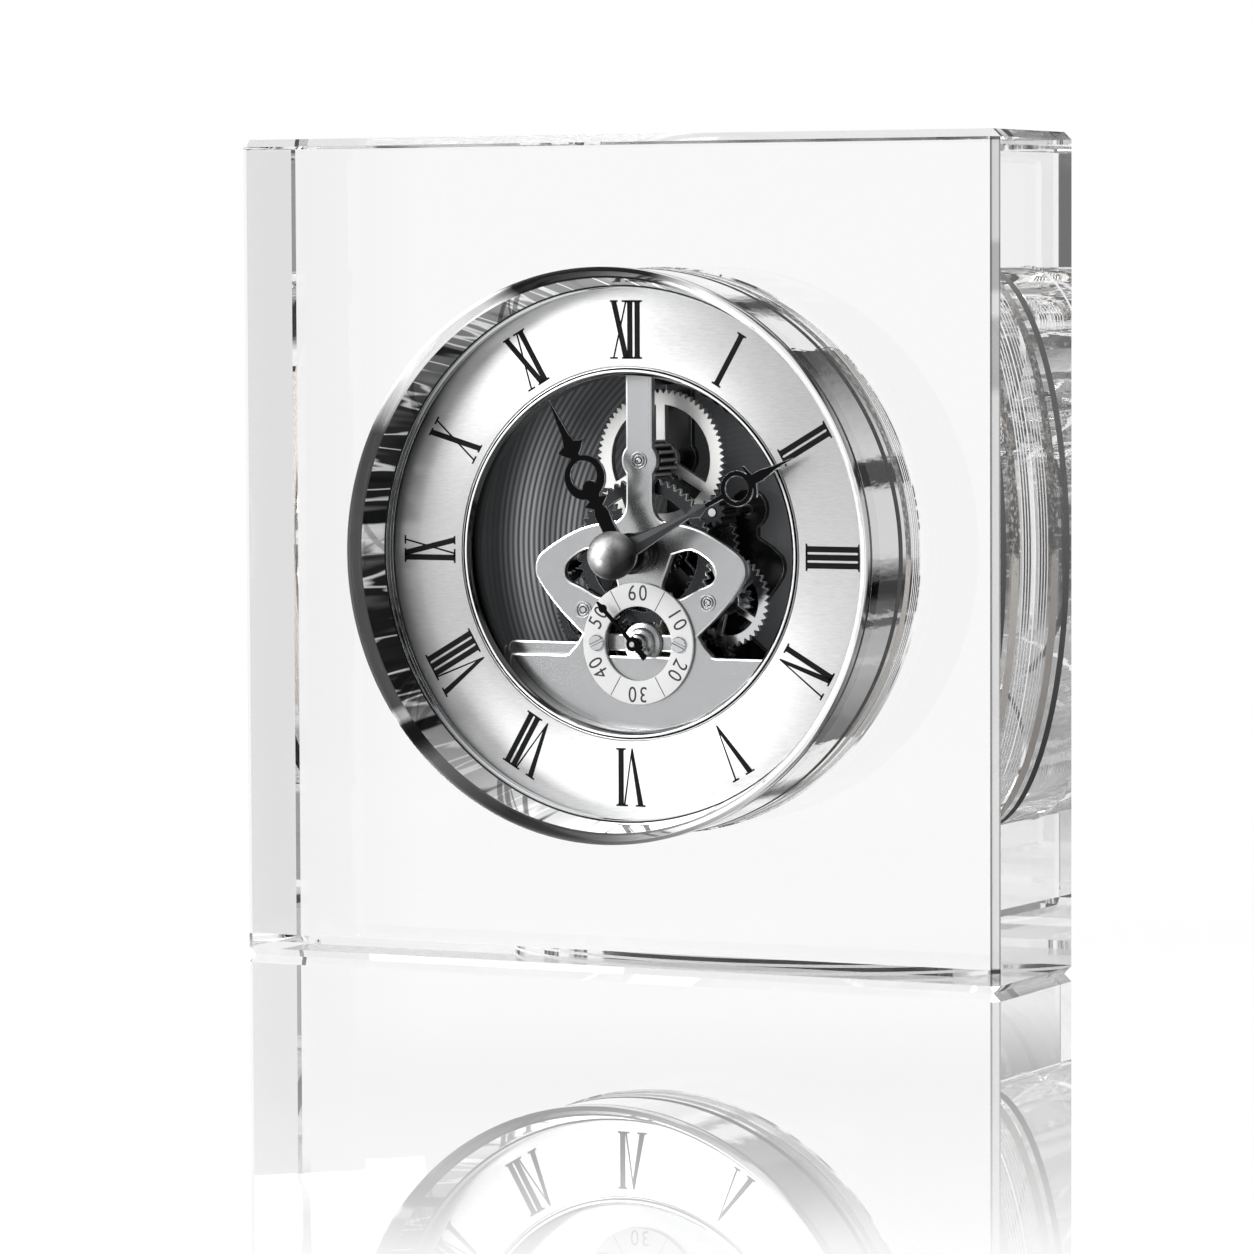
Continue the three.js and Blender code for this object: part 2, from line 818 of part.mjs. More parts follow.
// Cock across the opening behind the seconds dial, carrying the front pivot
function secondsCock() {
  const front = plateBack - seatGap;
  const back = front - cockThickness;
  const half = subdialHoleRadius + cockReach;
  const bar = slab(2 * half, cockWidth, front, back, secondsArborAt);
  const [x, y] = secondsArborAt;
  const ends = [x - half, x + half].map((end) => rod(cockWidth / 2, front, back, [end, y], 16));
  return cut(join(bar, ...ends), rod(arborRadius + runFit, 0, 2 * plateBack, secondsArborAt));
}

// Hands: drawn along +Y, then turned clockwise
function handTurned(solid, angle) {
  return solid.rotate([0, 0, -THREE.MathUtils.radToDeg(angle)]);
}

function spear(halfWidths) {
  return polygon(mirrored(halfWidths));
}

function hourHand() {
  const [front, back] = [hourHandZ, hourHandZ - handThickness];
  const stem = spear([
    [hourStemHalf, 0],
    [hourStemHalf * 0.75, hourSpurAt - hourStemBack],
    [hourStemHalf * 0.85, hourSpurAt - hourStemSwell],
    [hourStemHalf * 0.55, hourSpurAt - 0.9],
    [hourSpurHalf, hourSpurAt - 0.1],
    [hourStemHalf * 0.6, hourSpurAt + 0.5],
    [hourStemHalf * 0.6, hourMoonAt - 1.6],
  ]);
  const blade = spear([
    [hourMoonRadius * 0.3, hourMoonAt + hourMoonHole + 0.3],
    [hourMoonRadius * 0.25, hourCrownAt - 1.2],
    [hourCrownHalf * 0.6, hourCrownAt - 0.7],
    [hourCrownHalf, hourCrownAt + 0.5],
    [hourBladeHalf * 1.2, hourCrownAt + 0.9],
    [hourBladeHalf * 0.7, hourCrownAt + 2.4],
    [hourBladeHalf * 0.45, hourLength - 3],
    [0.08, hourLength],
  ]);
  const moon = plateOf(circle(hourMoonRadius, [0, hourMoonAt]), front, back, 18);
  const hole = plateOf(circle(hourMoonHole, [0, hourMoonAt + 0.1]), 0, 2 * back, 14);
  const cusp = plateOf(circle(hourMoonCusp, [0, hourMoonAt - hourMoonHole + 0.4]), front, back, 10);
  const hub = plateOf(circle(handHubRadius), front, back, 12);
  const body = join(cut(moon, hole), cusp, plateOf(stem, front, back), plateOf(blade, front, back), hub);
  const pipe = rod(hourPipeRadius - pipeStep, 0, 2 * back, centreArbor, 14);
  return handTurned(cut(body, pipe), hourAngle);
}

function minuteHand() {
  const [front, back] = [minuteHandZ, minuteHandZ - handThickness];
  const stem = spear([
    [minuteWedgeHalf, 0],
    [minuteWedgeHalf * 0.95, 3],
    [minuteStemHalf, minuteWedgeEnd],
    [minuteLozengeHalf, minuteLozengeAt],
    [minuteStemHalf, minuteLozengeAt + 1.6],
    [minuteStemHalf, minuteRingAt - minuteRingHole - 0.4],
  ]);
  const blade = spear([
    [minuteBladeHalf, minuteRingAt + minuteRingHole + 0.3],
    [minuteBarbHalf, minuteBarbAt - 0.6],
    [minuteBladeHalf, minuteBarbAt + 0.4],
    [minuteBladeHalf * 1.1, minuteBarbAt + 1.6],
    [minuteBladeHalf * 0.5, minuteLength - 3],
    [0.08, minuteLength],
  ]);
  const ring = plateOf(circle(minuteRingRadius, [0, minuteRingAt]), front, back, 16);
  const hole = plateOf(circle(minuteRingHole, [0, minuteRingAt]), 0, 2 * back, 12);
  const hub = plateOf(circle(handHubRadius), front, back, 12);
  const body = join(cut(ring, hole), plateOf(stem, front, back), plateOf(blade, front, back), hub);
  const bore = rod(minuteArborRadius + runFit / 2, 0, 2 * back, centreArbor, 16);
  return handTurned(cut(body, bore), minuteAngle);
}

function secondsHand() {
  const [front, back] = [secondsHandZ, secondsHandZ - secondsHandThickness];
  const stem = spear([
    [secondsStemHalf * 1.6, -secondsTail],
    [secondsStemHalf * 1.6, -secondsTail * 0.5],
    [secondsStemHalf, 0],
    [secondsStemHalf, secondsLength - 0.6],
    [0.12, secondsLength],
  ]);
  const bead = circle(secondsBeadRadius, [0, secondsBeadAt]);
  const body = join(
    plateOf(circle(secondsHubRadius), front, back, 10),
    plateOf(stem, front, back),
    plateOf(bead, front, back, 6),
  );
  const bore = rod(pivotRadius + runFit / 2, 0, 2 * back);
  return handTurned(cut(body, bore), secondsAngle).translate([...secondsArborAt, 0]);
}

// Polished ball that holds the hands, flat at the back, on the end of the arbor
function ballNut() {
  const steps = 8;
  const flat = Math.acos((ballBack - ballZ) / ballRadius);
  const profile = [[0, ballZ + ballRadius]];
  for (let i = 1; i <= steps; i += 1) {
    const angle = (flat * i) / steps;
    profile.push([ballRadius * Math.sin(angle), ballZ + ballRadius * Math.cos(angle)]);
  }
  profile.push([0, ballBack]);
  const bore = rod(minuteArborRadius + runFit / 2, ballZ, 2 * ballBack, centreArbor, 16);
  return cut(turned(profile, 22), bore);
}

function minuteArbor() {
  return rod(minuteArborRadius, ballZ - seatGap, backPlateZ - backPlateThickness, centreArbor, 16);
}

function wheelBlank(teeth, module, phase, at, front, thickness, bore, pointed = false) {
  const disc = toothed(teeth, module, phase, at, front, front - thickness, pointed);
  return cut(disc, rod(bore, 0, 2 * front, at, 16));
}

// Phases of the gears, each following the one it meshes with
const cannonPhase = 0;
const greatPhase = meshPhase(centreArbor, cannonTeeth, cannonPhase, greatArborAt, greatTeeth);
const hourPhase = meshPhase(greatArborAt, ribbedTeeth, 0, centreArbor, hourTeeth);
const settingPhase = meshPhase(centreArbor, hourTeeth, hourPhase, settingArborAt, settingTeeth);
const motorPhase = meshPhase(rotorAt, rotorTeeth, 0, motorArborAt, motorTeeth);
const secondsPhase = meshPhase(motorArborAt, motorPinionTeeth, 0, secondsArborAt, secondsTeeth);
const relayPhase = meshPhase(secondsArborAt, secondsPinionTeeth, 0, relayArborAt, relayTeeth);
const sleevePhase = meshPhase(relayArborAt, relayPinionTeeth, 0, secondsArborAt, sleeveTeeth);
const thirdPhase = meshPhase(secondsArborAt, sleevePinionTeeth, 0, thirdArborAt, thirdTeeth);
const centrePhase = meshPhase(thirdArborAt, thirdPinionTeeth, 0, centreArbor, centreTeeth);

function cannonPinion() {
  const module = moduleOf(centreArbor, greatArborAt, cannonTeeth, greatTeeth);
  const bore = minuteArborRadius + runFit / 2;
  return wheelBlank(cannonTeeth, module, cannonPhase, centreArbor, greatPlane, greatThickness, bore);
}

function hourWheel() {
  const back = hourPlane - wheelThickness;
  const disc = toothed(hourTeeth, ribbedModule, hourPhase, centreArbor, hourPlane, back);
  const pipe = rod(hourPipeRadius, hourHandZ - handThickness - faceGap, hourPlane, centreArbor, 18);
  const neck = rod(hourPipeRadius - pipeStep - runFit / 2, hourHandZ, hourPlane, centreArbor, 14);
  const bore = rod(minuteArborRadius + slipFit, 0, 2 * hourPlane, centreArbor, 16);
  return cut(join(disc, pipe, neck), bore);
}

function greatWheel() {
  const module = moduleOf(centreArbor, greatArborAt, cannonTeeth, greatTeeth);
  const back = greatPlane - greatThickness;
  const disc = toothed(greatTeeth, module, greatPhase, greatArborAt, greatPlane, back);
  const rimRadius = (greatTeeth * module) / 2 - greatRimWidth;
  let gaps = tube(rimRadius, greatHubRadius, 0, 2 * back, greatArborAt, 24);
  for (let i = 0; i < spokeCount; i += 1) {
    const spoke = slab(spokeWidth, 2 * rimRadius, 1, 2 * back - 1, [0, rimRadius]);
    const turn = (360 * i) / spokeCount;
    gaps = gaps.subtract(spoke.rotate([0, 0, turn]).translate([...greatArborAt, 0]));
  }
  return cut(disc, gaps, rod(arborRadius + runFit / 2, 0, 2 * back, greatArborAt, 16));
}

function ribbedPinion() {
  const front = plateBack - 2 * slipFit;
  const length = front - greatPlane - seatGap;
  const bore = arborRadius + runFit / 2;
  return wheelBlank(ribbedTeeth, ribbedModule, 0, greatArborAt, front, length, bore);
}

// Stepped arbor: a pivot in the front bearing, a body, a drum behind the wheel
function greatArbor() {
  const shoulder = plateBack - slipFit;
  const wheelBack = greatPlane - greatThickness - faceGap;
  return join(
    rod(pivotRadius, frontPlateZ + bearingProud, shoulder - 1, greatArborAt),
    rod(arborRadius, shoulder, coverFront + coverBossHeight + slipFit, greatArborAt),
    rod(drumRadius, wheelBack, wheelBack - greatDrumLength, greatArborAt, 20),
    rod(pivotRadius, shoulder, coverFront + coverBossHeight - pivotLength, greatArborAt),
  );
}

function secondsArbor() {
  const module = moduleOf(secondsArborAt, relayArborAt, secondsPinionTeeth, relayTeeth);
  const back = backPlateZ - backPlateThickness;
  return join(
    rod(pivotRadius, secondsHandZ + 0.3, plateBack, secondsArborAt),
    rod(arborRadius, secondsHandZ - secondsHandThickness - 0.05, back, secondsArborAt),
    toothed(secondsPinionTeeth, module, 0, secondsArborAt, relayPlane, relayPlane - wheelThickness),
  );
}

function secondsWheel() {
  const module = moduleOf(motorArborAt, secondsArborAt, motorPinionTeeth, secondsTeeth);
  const bore = arborRadius + runFit / 2;
  const at = secondsArborAt;
  return wheelBlank(secondsTeeth, module, secondsPhase, at, secondsPlane, wheelThickness, bore, true);
}

// Loose pair of wheels on a sleeve round the seconds arbor
function sleeveWheels() {
  const module = moduleOf(relayArborAt, secondsArborAt, relayPinionTeeth, sleeveTeeth);
  const at = secondsArborAt;
  const pair = join(
    toothed(sleevePinionTeeth, thirdModule, 0, at, thirdPlane, thirdPlane - wheelThickness, true),
    toothed(sleeveTeeth, module, sleevePhase, at, relayPinionPlane, relayPinionPlane - wheelThickness, true),
    rod(hubRadius, thirdPlane, relayPinionPlane, at, 16),
  );
  return cut(pair, rod(arborRadius + runFit, 0, 2 * thirdPlane, at, 16));
}

// Relay wheel and pinion on a fixed stud
function relayWheels() {
  const module = moduleOf(secondsArborAt, relayArborAt, secondsPinionTeeth, relayTeeth);
  const pinionModule = moduleOf(relayArborAt, secondsArborAt, relayPinionTeeth, sleeveTeeth);
  const at = relayArborAt;
  const pair = join(
    toothed(relayTeeth, module, relayPhase, at, relayPlane, relayPlane - wheelThickness, true),
    toothed(relayPinionTeeth, pinionModule, 0, at, relayPinionPlane, relayPlane),
  );
  return cut(pair, rod(studRadius + runFit, 0, 2 * relayPlane, at));
}

function relayStud() {
  const collar = rod(hubRadius, relayPlane - wheelThickness - slipFit, backPlateZ + seatGap, relayArborAt);
  return join(rod(studRadius, relayPinionPlane + slipFit, backPlateZ + seatGap, relayArborAt), collar);
}

function thirdWheel() {
  const bore = arborRadius + runFit / 2;
  return wheelBlank(thirdTeeth, thirdModule, thirdPhase, thirdArborAt, thirdPlane, wheelThickness, bore);
}

function thirdArbor() {
  const module = moduleOf(thirdArborAt, centreArbor, thirdPinionTeeth, centreTeeth);
  const shoulder = plateBack - slipFit;
  const at = thirdArborAt;
  return join(
    rod(pivotRadius, frontPlateZ + bearingProud, shoulder, at),
    rod(arborRadius, shoulder, backPlateZ - backPlateThickness, at),
    rod(drumRadius, thirdPlane - wheelThickness - faceGap, centrePlane, at, 20),
    toothed(thirdPinionTeeth, module, 0, at, centrePlane, centrePlane - wheelThickness),
  );
}

// Wheel that slips on the minute arbor when the hands are set
function centreWheel() {
  const module = moduleOf(thirdArborAt, centreArbor, thirdPinionTeeth, centreTeeth);
  const at = centreArbor;
  const disc = toothed(centreTeeth, module, centrePhase, at, centrePlane, centrePlane - wheelThickness, true);
  const hub = rod(2 * hubRadius, centrePlane + wheelThickness, centrePlane, at, 20);
  return cut(join(disc, hub), rod(minuteArborRadius + runFit, 0, 2 * centrePlane, at, 16));
}

function motorWheel() {
  const bore = arborRadius + runFit / 2;
  const at = motorArborAt;
  return wheelBlank(motorTeeth, motorModule, motorPhase, at, motorPlane, wheelThickness, bore, true);
}

function motorArbor() {
  const module = moduleOf(motorArborAt, secondsArborAt, motorPinionTeeth, secondsTeeth);
  const shoulder = plateBack - slipFit;
  const at = motorArborAt;
  return join(
    rod(pivotRadius, frontPlateZ + bearingProud, shoulder, at),
    rod(arborRadius, shoulder, backPlateZ - backPlateThickness, at),
    toothed(motorPinionTeeth, module, 0, at, secondsPlane, secondsPlane - wheelThickness),
  );
}

function rotor() {
  const magnetFront = motorPlane - wheelThickness - 2 * slipFit;
  return join(
    rod(pivotRadius, motorPlane + pivotLength, backPlateZ - backPlateThickness, rotorAt),
    toothed(rotorTeeth, motorModule, 0, rotorAt, motorPlane, motorPlane - wheelThickness),
    rod(rotorRadius, magnetFront, magnetFront - rotorLength, rotorAt, 20),
  );
}

// Motor plate round the rotor, reaching out to the ends of the coil
const coilAt = [rotorAt[0] - rotorRadius - coilReach - coilLength / 2, rotorAt[1] - coilDrop];

function stator() {
  const front = motorPlane - wheelThickness - 2 * slipFit - rotorLength / 2 + statorThickness / 2;
  const back = front - statorThickness;
  const ring = rod(rotorRadius + statorRim, front, back, rotorAt, 24);
  const tabHeight = rotorAt[1] - coilAt[1];
  const tabAt = [rotorAt[0] - statorTab, rotorAt[1] - tabHeight / 2];
  const tab = slab(statorTab, tabHeight, front, back, tabAt);
  const coreAt = [coilAt[0] + coreOverhang / 2, coilAt[1]];
  const core = slab(coilLength + coreOverhang, coreWidth, front, back, coreAt);
  return cut(join(ring, tab, core), rod(rotorRadius + slipFit, 0, 2 * back, rotorAt, 20));
}

function driveCoil() {
  const z = motorPlane - wheelThickness - 2 * slipFit - rotorLength / 2;
  const half = coilLength / 2;
  const profile = [
    [0, -half],
    [coilFlangeRadius, -half],
    [coilFlangeRadius, coilFlange - half],
    [coilRadius, coilFlange - half],
    [coilRadius, half - coilFlange],
    [coilFlangeRadius, half - coilFlange],
    [coilFlangeRadius, half],
    [0, half],
  ];
  const bobbin = turned(profile, 16).rotate([0, 90, 0]).translate([...coilAt, z]);
  const reach = (statorThickness + 2 * slipFit) / 2;
  const core = slab(2 * coilLength, coreWidth + slipFit, z + reach, z - reach, coilAt);
  return cut(bobbin, core);
}

// Power pieces
function batteryCradle() {
  const half = cellLength / 2 + cellNibLength + 2 * contactThickness;
  const outerX = half + cradleEndWall;
  const bottom = cellHeight - cellRadius - cradleFloor;
  const [front, back] = [plateBack - seatGap, cellZ - cellRadius];
  const middle = [0, (cradleTop + bottom) / 2];
  const body = slab(2 * outerX, cradleTop - bottom, front, back, middle);
  const channel = new THREE.CylinderGeometry(cellRadius + runFit, cellRadius + runFit, 2 * half, 24);
  channel.rotateZ(Math.PI / 2);
  channel.translate(0, cellHeight, cellZ);
  const mouth = slab(2 * half, 2 * cellRadius + 2 * runFit, cellZ, 2 * cellZ, [0, cellHeight]);
  const limit = rod(caseBore - slipFit, 0, 2 * back, centreArbor, ringFacets);
  return cut(body, toSolid(channel), mouth).intersect(limit);
}

function cell() {
  const half = cellLength / 2;
  const profile = [
    [0, -half],
    [cellRadius - cellRounding, -half],
    [cellRadius, cellRounding - half],
    [cellRadius, half - cellRounding],
    [cellRadius - cellRounding, half],
    [cellNibRadius, half],
    [cellNibRadius, half + cellNibLength],
    [0, half + cellNibLength],
  ];
  const solid = turned(profile, 20).rotate([0, 90, 0]);
  return solid.translate([-cellNibLength / 2, cellHeight, cellZ]);
}

function contact(side) {
  const reach = cellLength / 2 + cellNibLength / 2 + slipFit + contactThickness / 2;
  const [front, back] = [cellZ + cellNibRadius * 2, cellZ - cellNibRadius * 2];
  return slab(contactThickness, 4 * cellNibRadius, front, back, [side * reach, cellHeight]);
}

function circuitBoard() {
  const z = backPlateZ + boardStand;
  const board = slab(boardLength, boardHeight, z, z - boardThickness, [boardX, boardY]);
  const tongueAt = [boardX - (boardLength + tongueWidth) / 2, boardY - tongueWidth / 2];
  const tongue = slab(tongueLength, tongueWidth, z, z - boardThickness, tongueAt);
  return join(board, tongue);
}

function quartzCrystal() {
  const z = backPlateZ + boardStand + crystalRadius + seatGap;
  const can = turned(
    [
      [0, -crystalLength / 2],
      [crystalRadius, -crystalLength / 2],
      [crystalRadius, crystalLength / 2],
      [0, crystalLength / 2],
    ],
    16,
  );
  return can.rotate([0, 90, 0]).translate([boardX + crystalOffset, boardY + crystalOffset, z]);
}

// Setting work
function settingPinion() {
  const front = hourPlane + slipFit;
  const bore = arborRadius + runFit / 2;
  const length = settingPinionLength;
  return wheelBlank(settingTeeth, ribbedModule, settingPhase, settingArborAt, front, length, bore);
}

function settingArbor() {
  return rod(arborRadius, hourPlane + 2 * slipFit, knobRear + knobHeight / 2 + slipFit, settingArborAt, 16);
}

function settingKnob() {
  const points = [];
  const step = Math.PI / knobFlutes;
  for (let i = 0; i < 2 * knobFlutes; i += 1) {
    const radius = knobRadius - (i % 2) * knobFlute;
    points.push(pointAt(settingArborAt, (i - knobFlat) * step, radius));
    points.push(pointAt(settingArborAt, (i + knobFlat) * step, radius));
  }
  const body = plateOf(polygon(points), knobRear + knobHeight, knobRear);
  const bore = rod(arborRadius + runFit / 2, 0, knobRear + knobHeight / 2, settingArborAt, 16);
  return cut(body, bore);
}

const block = new THREE.Mesh(crystalBlock(), clearCrystal);
block.name = "crystal_block";
clock.add(block);

place(insert, "bezel_ring", bezelRing(), chromedBrass);
place(insert, "dial_ring", dialRing(), silveredDial);
place(insert, "window_trim_ring", windowTrimRing(), polishedSteel);
place(insert, "rear_case", rearCase(), turnedCase);
place(insert, "grip_band", gripBand(), gripRubber);
place(insert, "back_ring", backRing(), turnedCase);
place(insert, "back_cover", backCover(), darkCover);
place(insert, "battery_door", batteryDoor(), darkCover);
place(insert, "front_plate", frontPlate(), polishedSteel);
place(insert, "back_plate", backPlate(), blackPlate);
pillarPlaces.forEach((at, i) => place(insert, "plate_pillar_" + (i + 1), pillar(at), blackPlate));
place(insert, "centre_bush", centreBush(), blackPlate);
[greatArborAt, thirdArborAt, motorArborAt].forEach((at, i) => {
  place(insert, "front_bearing_" + (i + 1), bearing(at), polishedSteel);
});
place(insert, "subdial_ring", subdialRing(), silveredDial);
place(insert, "subdial_screw_left", subdialScrew(-1), polishedSteel);
place(insert, "subdial_screw_right", subdialScrew(1), polishedSteel);
place(insert, "seconds_cock", secondsCock(), polishedSteel);
place(insert, "ball_nut", ballNut(), chromedBrass);
place(insert, "minute_hand", minuteHand(), blackSteel);
place(insert, "minute_arbor", minuteArbor(), polishedSteel);
place(insert, "cannon_pinion", cannonPinion(), polishedSteel);
place(insert, "hour_hand", hourHand(), blackSteel);
place(insert, "hour_wheel", hourWheel(), blackSteel);
place(insert, "great_wheel", greatWheel(), silveredWheel);
place(insert, "ribbed_pinion", ribbedPinion(), blackSteel);
place(insert, "great_arbor", greatArbor(), polishedSteel);
place(insert, "seconds_hand", secondsHand(), blackSteel);
place(insert, "seconds_arbor", secondsArbor(), polishedSteel);
place(insert, "seconds_wheel", secondsWheel(), blackSteel);
place(insert, "sleeve_wheels", sleeveWheels(), yellowBrass);
place(insert, "relay_wheels", relayWheels(), polishedSteel);
place(insert, "relay_stud", relayStud(), polishedSteel);
place(insert, "third_wheel", thirdWheel(), polishedSteel);
place(insert, "third_arbor", thirdArbor(), polishedSteel);
place(insert, "centre_wheel", centreWheel(), blackSteel);
place(insert, "motor_wheel", motorWheel(), blackSteel);
place(insert, "motor_arbor", motorArbor(), polishedSteel);
place(insert, "rotor", rotor(), magnetGrey);
place(insert, "stator", stator(), polishedSteel);
place(insert, "drive_coil", driveCoil(), copperWire);
place(insert, "battery_cradle", batteryCradle(), blackPlastic);
place(insert, "battery_cell", cell(), cellJacket);
place(insert, "battery_contact_left", contact(-1), polishedSteel);
place(insert, "battery_contact_right", contact(1), polishedSteel);
place(insert, "circuit_board", circuitBoard(), boardGreen);
place(insert, "quartz_crystal", quartzCrystal(), turnedCase);
place(insert, "setting_pinion", settingPinion(), blackSteel);
place(insert, "setting_arbor", settingArbor(), polishedSteel);
place(insert, "setting_knob", settingKnob(), blackPlastic);

insert.rotation.x = Math.PI / 2;
insert.position.set(0, -blockDepth / 2, blockSide / 2);
clock.add(insert);

export default clock;
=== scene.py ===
import math
import bpy
from mathutils import Matrix, Vector
from mathutils.geometry import tessellate_polygon


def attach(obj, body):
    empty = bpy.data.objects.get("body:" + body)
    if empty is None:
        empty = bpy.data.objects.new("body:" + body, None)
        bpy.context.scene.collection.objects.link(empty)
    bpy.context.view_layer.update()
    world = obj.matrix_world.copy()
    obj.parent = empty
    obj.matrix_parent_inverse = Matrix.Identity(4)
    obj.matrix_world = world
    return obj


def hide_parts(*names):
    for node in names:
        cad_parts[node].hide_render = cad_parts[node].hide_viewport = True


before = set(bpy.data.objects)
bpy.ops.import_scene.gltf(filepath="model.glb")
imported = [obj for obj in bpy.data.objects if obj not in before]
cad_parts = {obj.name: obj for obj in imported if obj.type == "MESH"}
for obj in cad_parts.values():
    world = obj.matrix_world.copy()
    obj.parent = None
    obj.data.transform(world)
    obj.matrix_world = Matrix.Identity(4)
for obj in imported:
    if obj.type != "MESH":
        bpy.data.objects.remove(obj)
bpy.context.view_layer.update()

mm = 0.001
blockSide = 120.0
blockDepth = 28.5
faceY = -blockDepth / 2        # front face of the block
axisZ = blockSide / 2          # height of the clock's axis
fullTurn = 2 * math.pi


# camera, fitted to the corners of the block
cameraSetup = {
    "yaw": 26.13, "pitch": 3.40, "roll": -0.24,   # degrees
    "distance": 847.0,                            # mm from the aimed point
    "aim": (2.9, faceY, 49.9),                    # mm
    "focalPixels": 5940.0, "framePixels": 1254.0, "sensor": 36.0,
}


def makeCamera(setup):
    yaw, pitch, roll = (math.radians(setup[k]) for k in ("yaw", "pitch", "roll"))
    forward = Vector((-math.sin(yaw) * math.cos(pitch), math.cos(yaw) * math.cos(pitch), -math.sin(pitch)))
    right = Vector((math.cos(yaw), math.sin(yaw), 0))
    up = right.cross(forward)
    rolledRight = right * math.cos(roll) + up * math.sin(roll)
    rolledUp = up * math.cos(roll) - right * math.sin(roll)
    lens = bpy.data.cameras.new("clockCamera")
    lens.sensor_width = setup["sensor"]
    lens.lens = setup["focalPixels"] / setup["framePixels"] * setup["sensor"]
    lens.clip_start, lens.clip_end = 0.05, 20
    camera = bpy.data.objects.new("clockCamera", lens)
    bpy.context.scene.collection.objects.link(camera)
    turn = Matrix((rolledRight, rolledUp, -forward)).transposed().to_4x4()
    spot = Vector(setup["aim"]) * mm - forward * setup["distance"] * mm
    camera.matrix_world = Matrix.Translation(spot) @ turn
    bpy.context.scene.camera = camera


makeCamera(cameraSetup)
bpy.context.scene.view_settings.view_transform = "Standard"
# light goes round inside the crystal many times before it comes out of a side face
paths = bpy.context.scene.cycles
paths.max_bounces, paths.glossy_bounces, paths.transmission_bounces = 18, 16, 14
print("camera placed")


# finishes
def toLinear(hexColour):
    parts = [int(hexColour[i:i + 2], 16) / 255 for i in (1, 3, 5)]
    return tuple(c / 12.92 if c <= 0.04045 else ((c + 0.055) / 1.055) ** 2.4 for c in parts) + (1.0,)


def addNode(tree, kind, settings=None, links=None):
    node = tree.nodes.new(kind)
    for name, value in (settings or {}).items():
        if isinstance(name, int) or name in node.inputs:
            node.inputs[name].default_value = value
        else:
            setattr(node, name, value)
    for name, (source, output) in (links or {}).items():
        tree.links.new(source.outputs[output], node.inputs[name])
    return node


def newFinish(name, hexColour, metallic, roughness, ior=None):
    finish = bpy.data.materials.new(name)
    finish.use_nodes = True
    shader = finish.node_tree.nodes["Principled BSDF"]
    shader.inputs["Base Color"].default_value = toLinear(hexColour)
    shader.inputs["Metallic"].default_value = metallic
    shader.inputs["Roughness"].default_value = roughness
    if ior:
        shader.inputs["IOR"].default_value = ior
    return finish, finish.node_tree, shader


def toneRange(tree, source, output, low, high):
    return addNode(tree, "ShaderNodeMapRange", {"To Min": low, "To Max": high}, {"Value": (source, output)})


def toneRamp(tree, stops, source, output, unit=1.0):
    # grey tones over a run of values: stops = (value, tone), unit turns a value into the source's own measure
    low, high = stops[0][0], stops[-1][0]
    part = addNode(tree, "ShaderNodeMapRange", {"From Min": low * unit, "From Max": high * unit},
                   {"Value": (source, output)})
    ramp = addNode(tree, "ShaderNodeValToRGB", None, {"Fac": (part, "Result")})
    first, last = ramp.color_ramp.elements
    first.color = (stops[0][1],) * 3 + (1,)
    last.color = (stops[-1][1],) * 3 + (1,)
    for value, tone in stops[1:-1]:
        element = ramp.color_ramp.elements.new((value - low) / (high - low))
        element.color = (tone, tone, tone, 1)
    return ramp


def aroundAxis(tree, offset=0.0, rise=0.0):
    # place from the clock's axis, its radius, and its angle: 0 at XII, a quarter turn at III
    where = addNode(tree, "ShaderNodeTexCoord")
    moved = addNode(tree, "ShaderNodeMapping", {"Location": (-offset * mm, 0, -(axisZ + rise) * mm)},
                    {"Vector": (where, "Object")})
    parts = addNode(tree, "ShaderNodeSeparateXYZ", None, {0: (moved, "Vector")})
    flat = addNode(tree, "ShaderNodeVectorMath", {"operation": "MULTIPLY", 1: (1, 0, 1)}, {0: (moved, "Vector")})
    radius = addNode(tree, "ShaderNodeVectorMath", {"operation": "LENGTH"}, {0: (flat, "Vector")})
    angle = addNode(tree, "ShaderNodeMath", {"operation": "ARCTAN2"}, {0: (parts, "X"), 1: (parts, "Z")})
    return parts, radius, angle


def grainFinish(name, hexColour, metallic, roughness, grain, spread=0.06, depth=0.01, tone=0.08, ior=None):
    # grain = size of one fleck in mm along x, y and z; depth in mm
    finish, tree, shader = newFinish(name, hexColour, metallic, roughness, ior)
    where = addNode(tree, "ShaderNodeTexCoord")
    scale = [1 / (g * mm) for g in grain]
    mapped = addNode(tree, "ShaderNodeMapping", {"Scale": scale}, {"Vector": (where, "Object")})
    flecks = addNode(tree, "ShaderNodeTexNoise", {"Scale": 1.0, "Detail": 5.0, "Roughness": 0.6},
                     {"Vector": (mapped, "Vector")})
    rough = toneRange(tree, flecks, "Fac", roughness - spread, roughness + spread)
    tree.links.new(rough.outputs["Result"], shader.inputs["Roughness"])
    base = toLinear(hexColour)
    darker = tuple(c * (1 - tone) for c in base[:3]) + (1.0,)
    lighter = tuple(min(1, c * (1 + tone)) for c in base[:3]) + (1.0,)
    colour = addNode(tree, "ShaderNodeMix", {"data_type": "RGBA", 6: darker, 7: lighter}, {0: (flecks, "Fac")})
    tree.links.new(colour.outputs[2], shader.inputs["Base Color"])
    bump = addNode(tree, "ShaderNodeBump", {"Strength": 0.5, "Distance": depth * mm},
                   {"Height": (flecks, "Fac")})
    tree.links.new(bump.outputs["Normal"], shader.inputs["Normal"])
    return finish


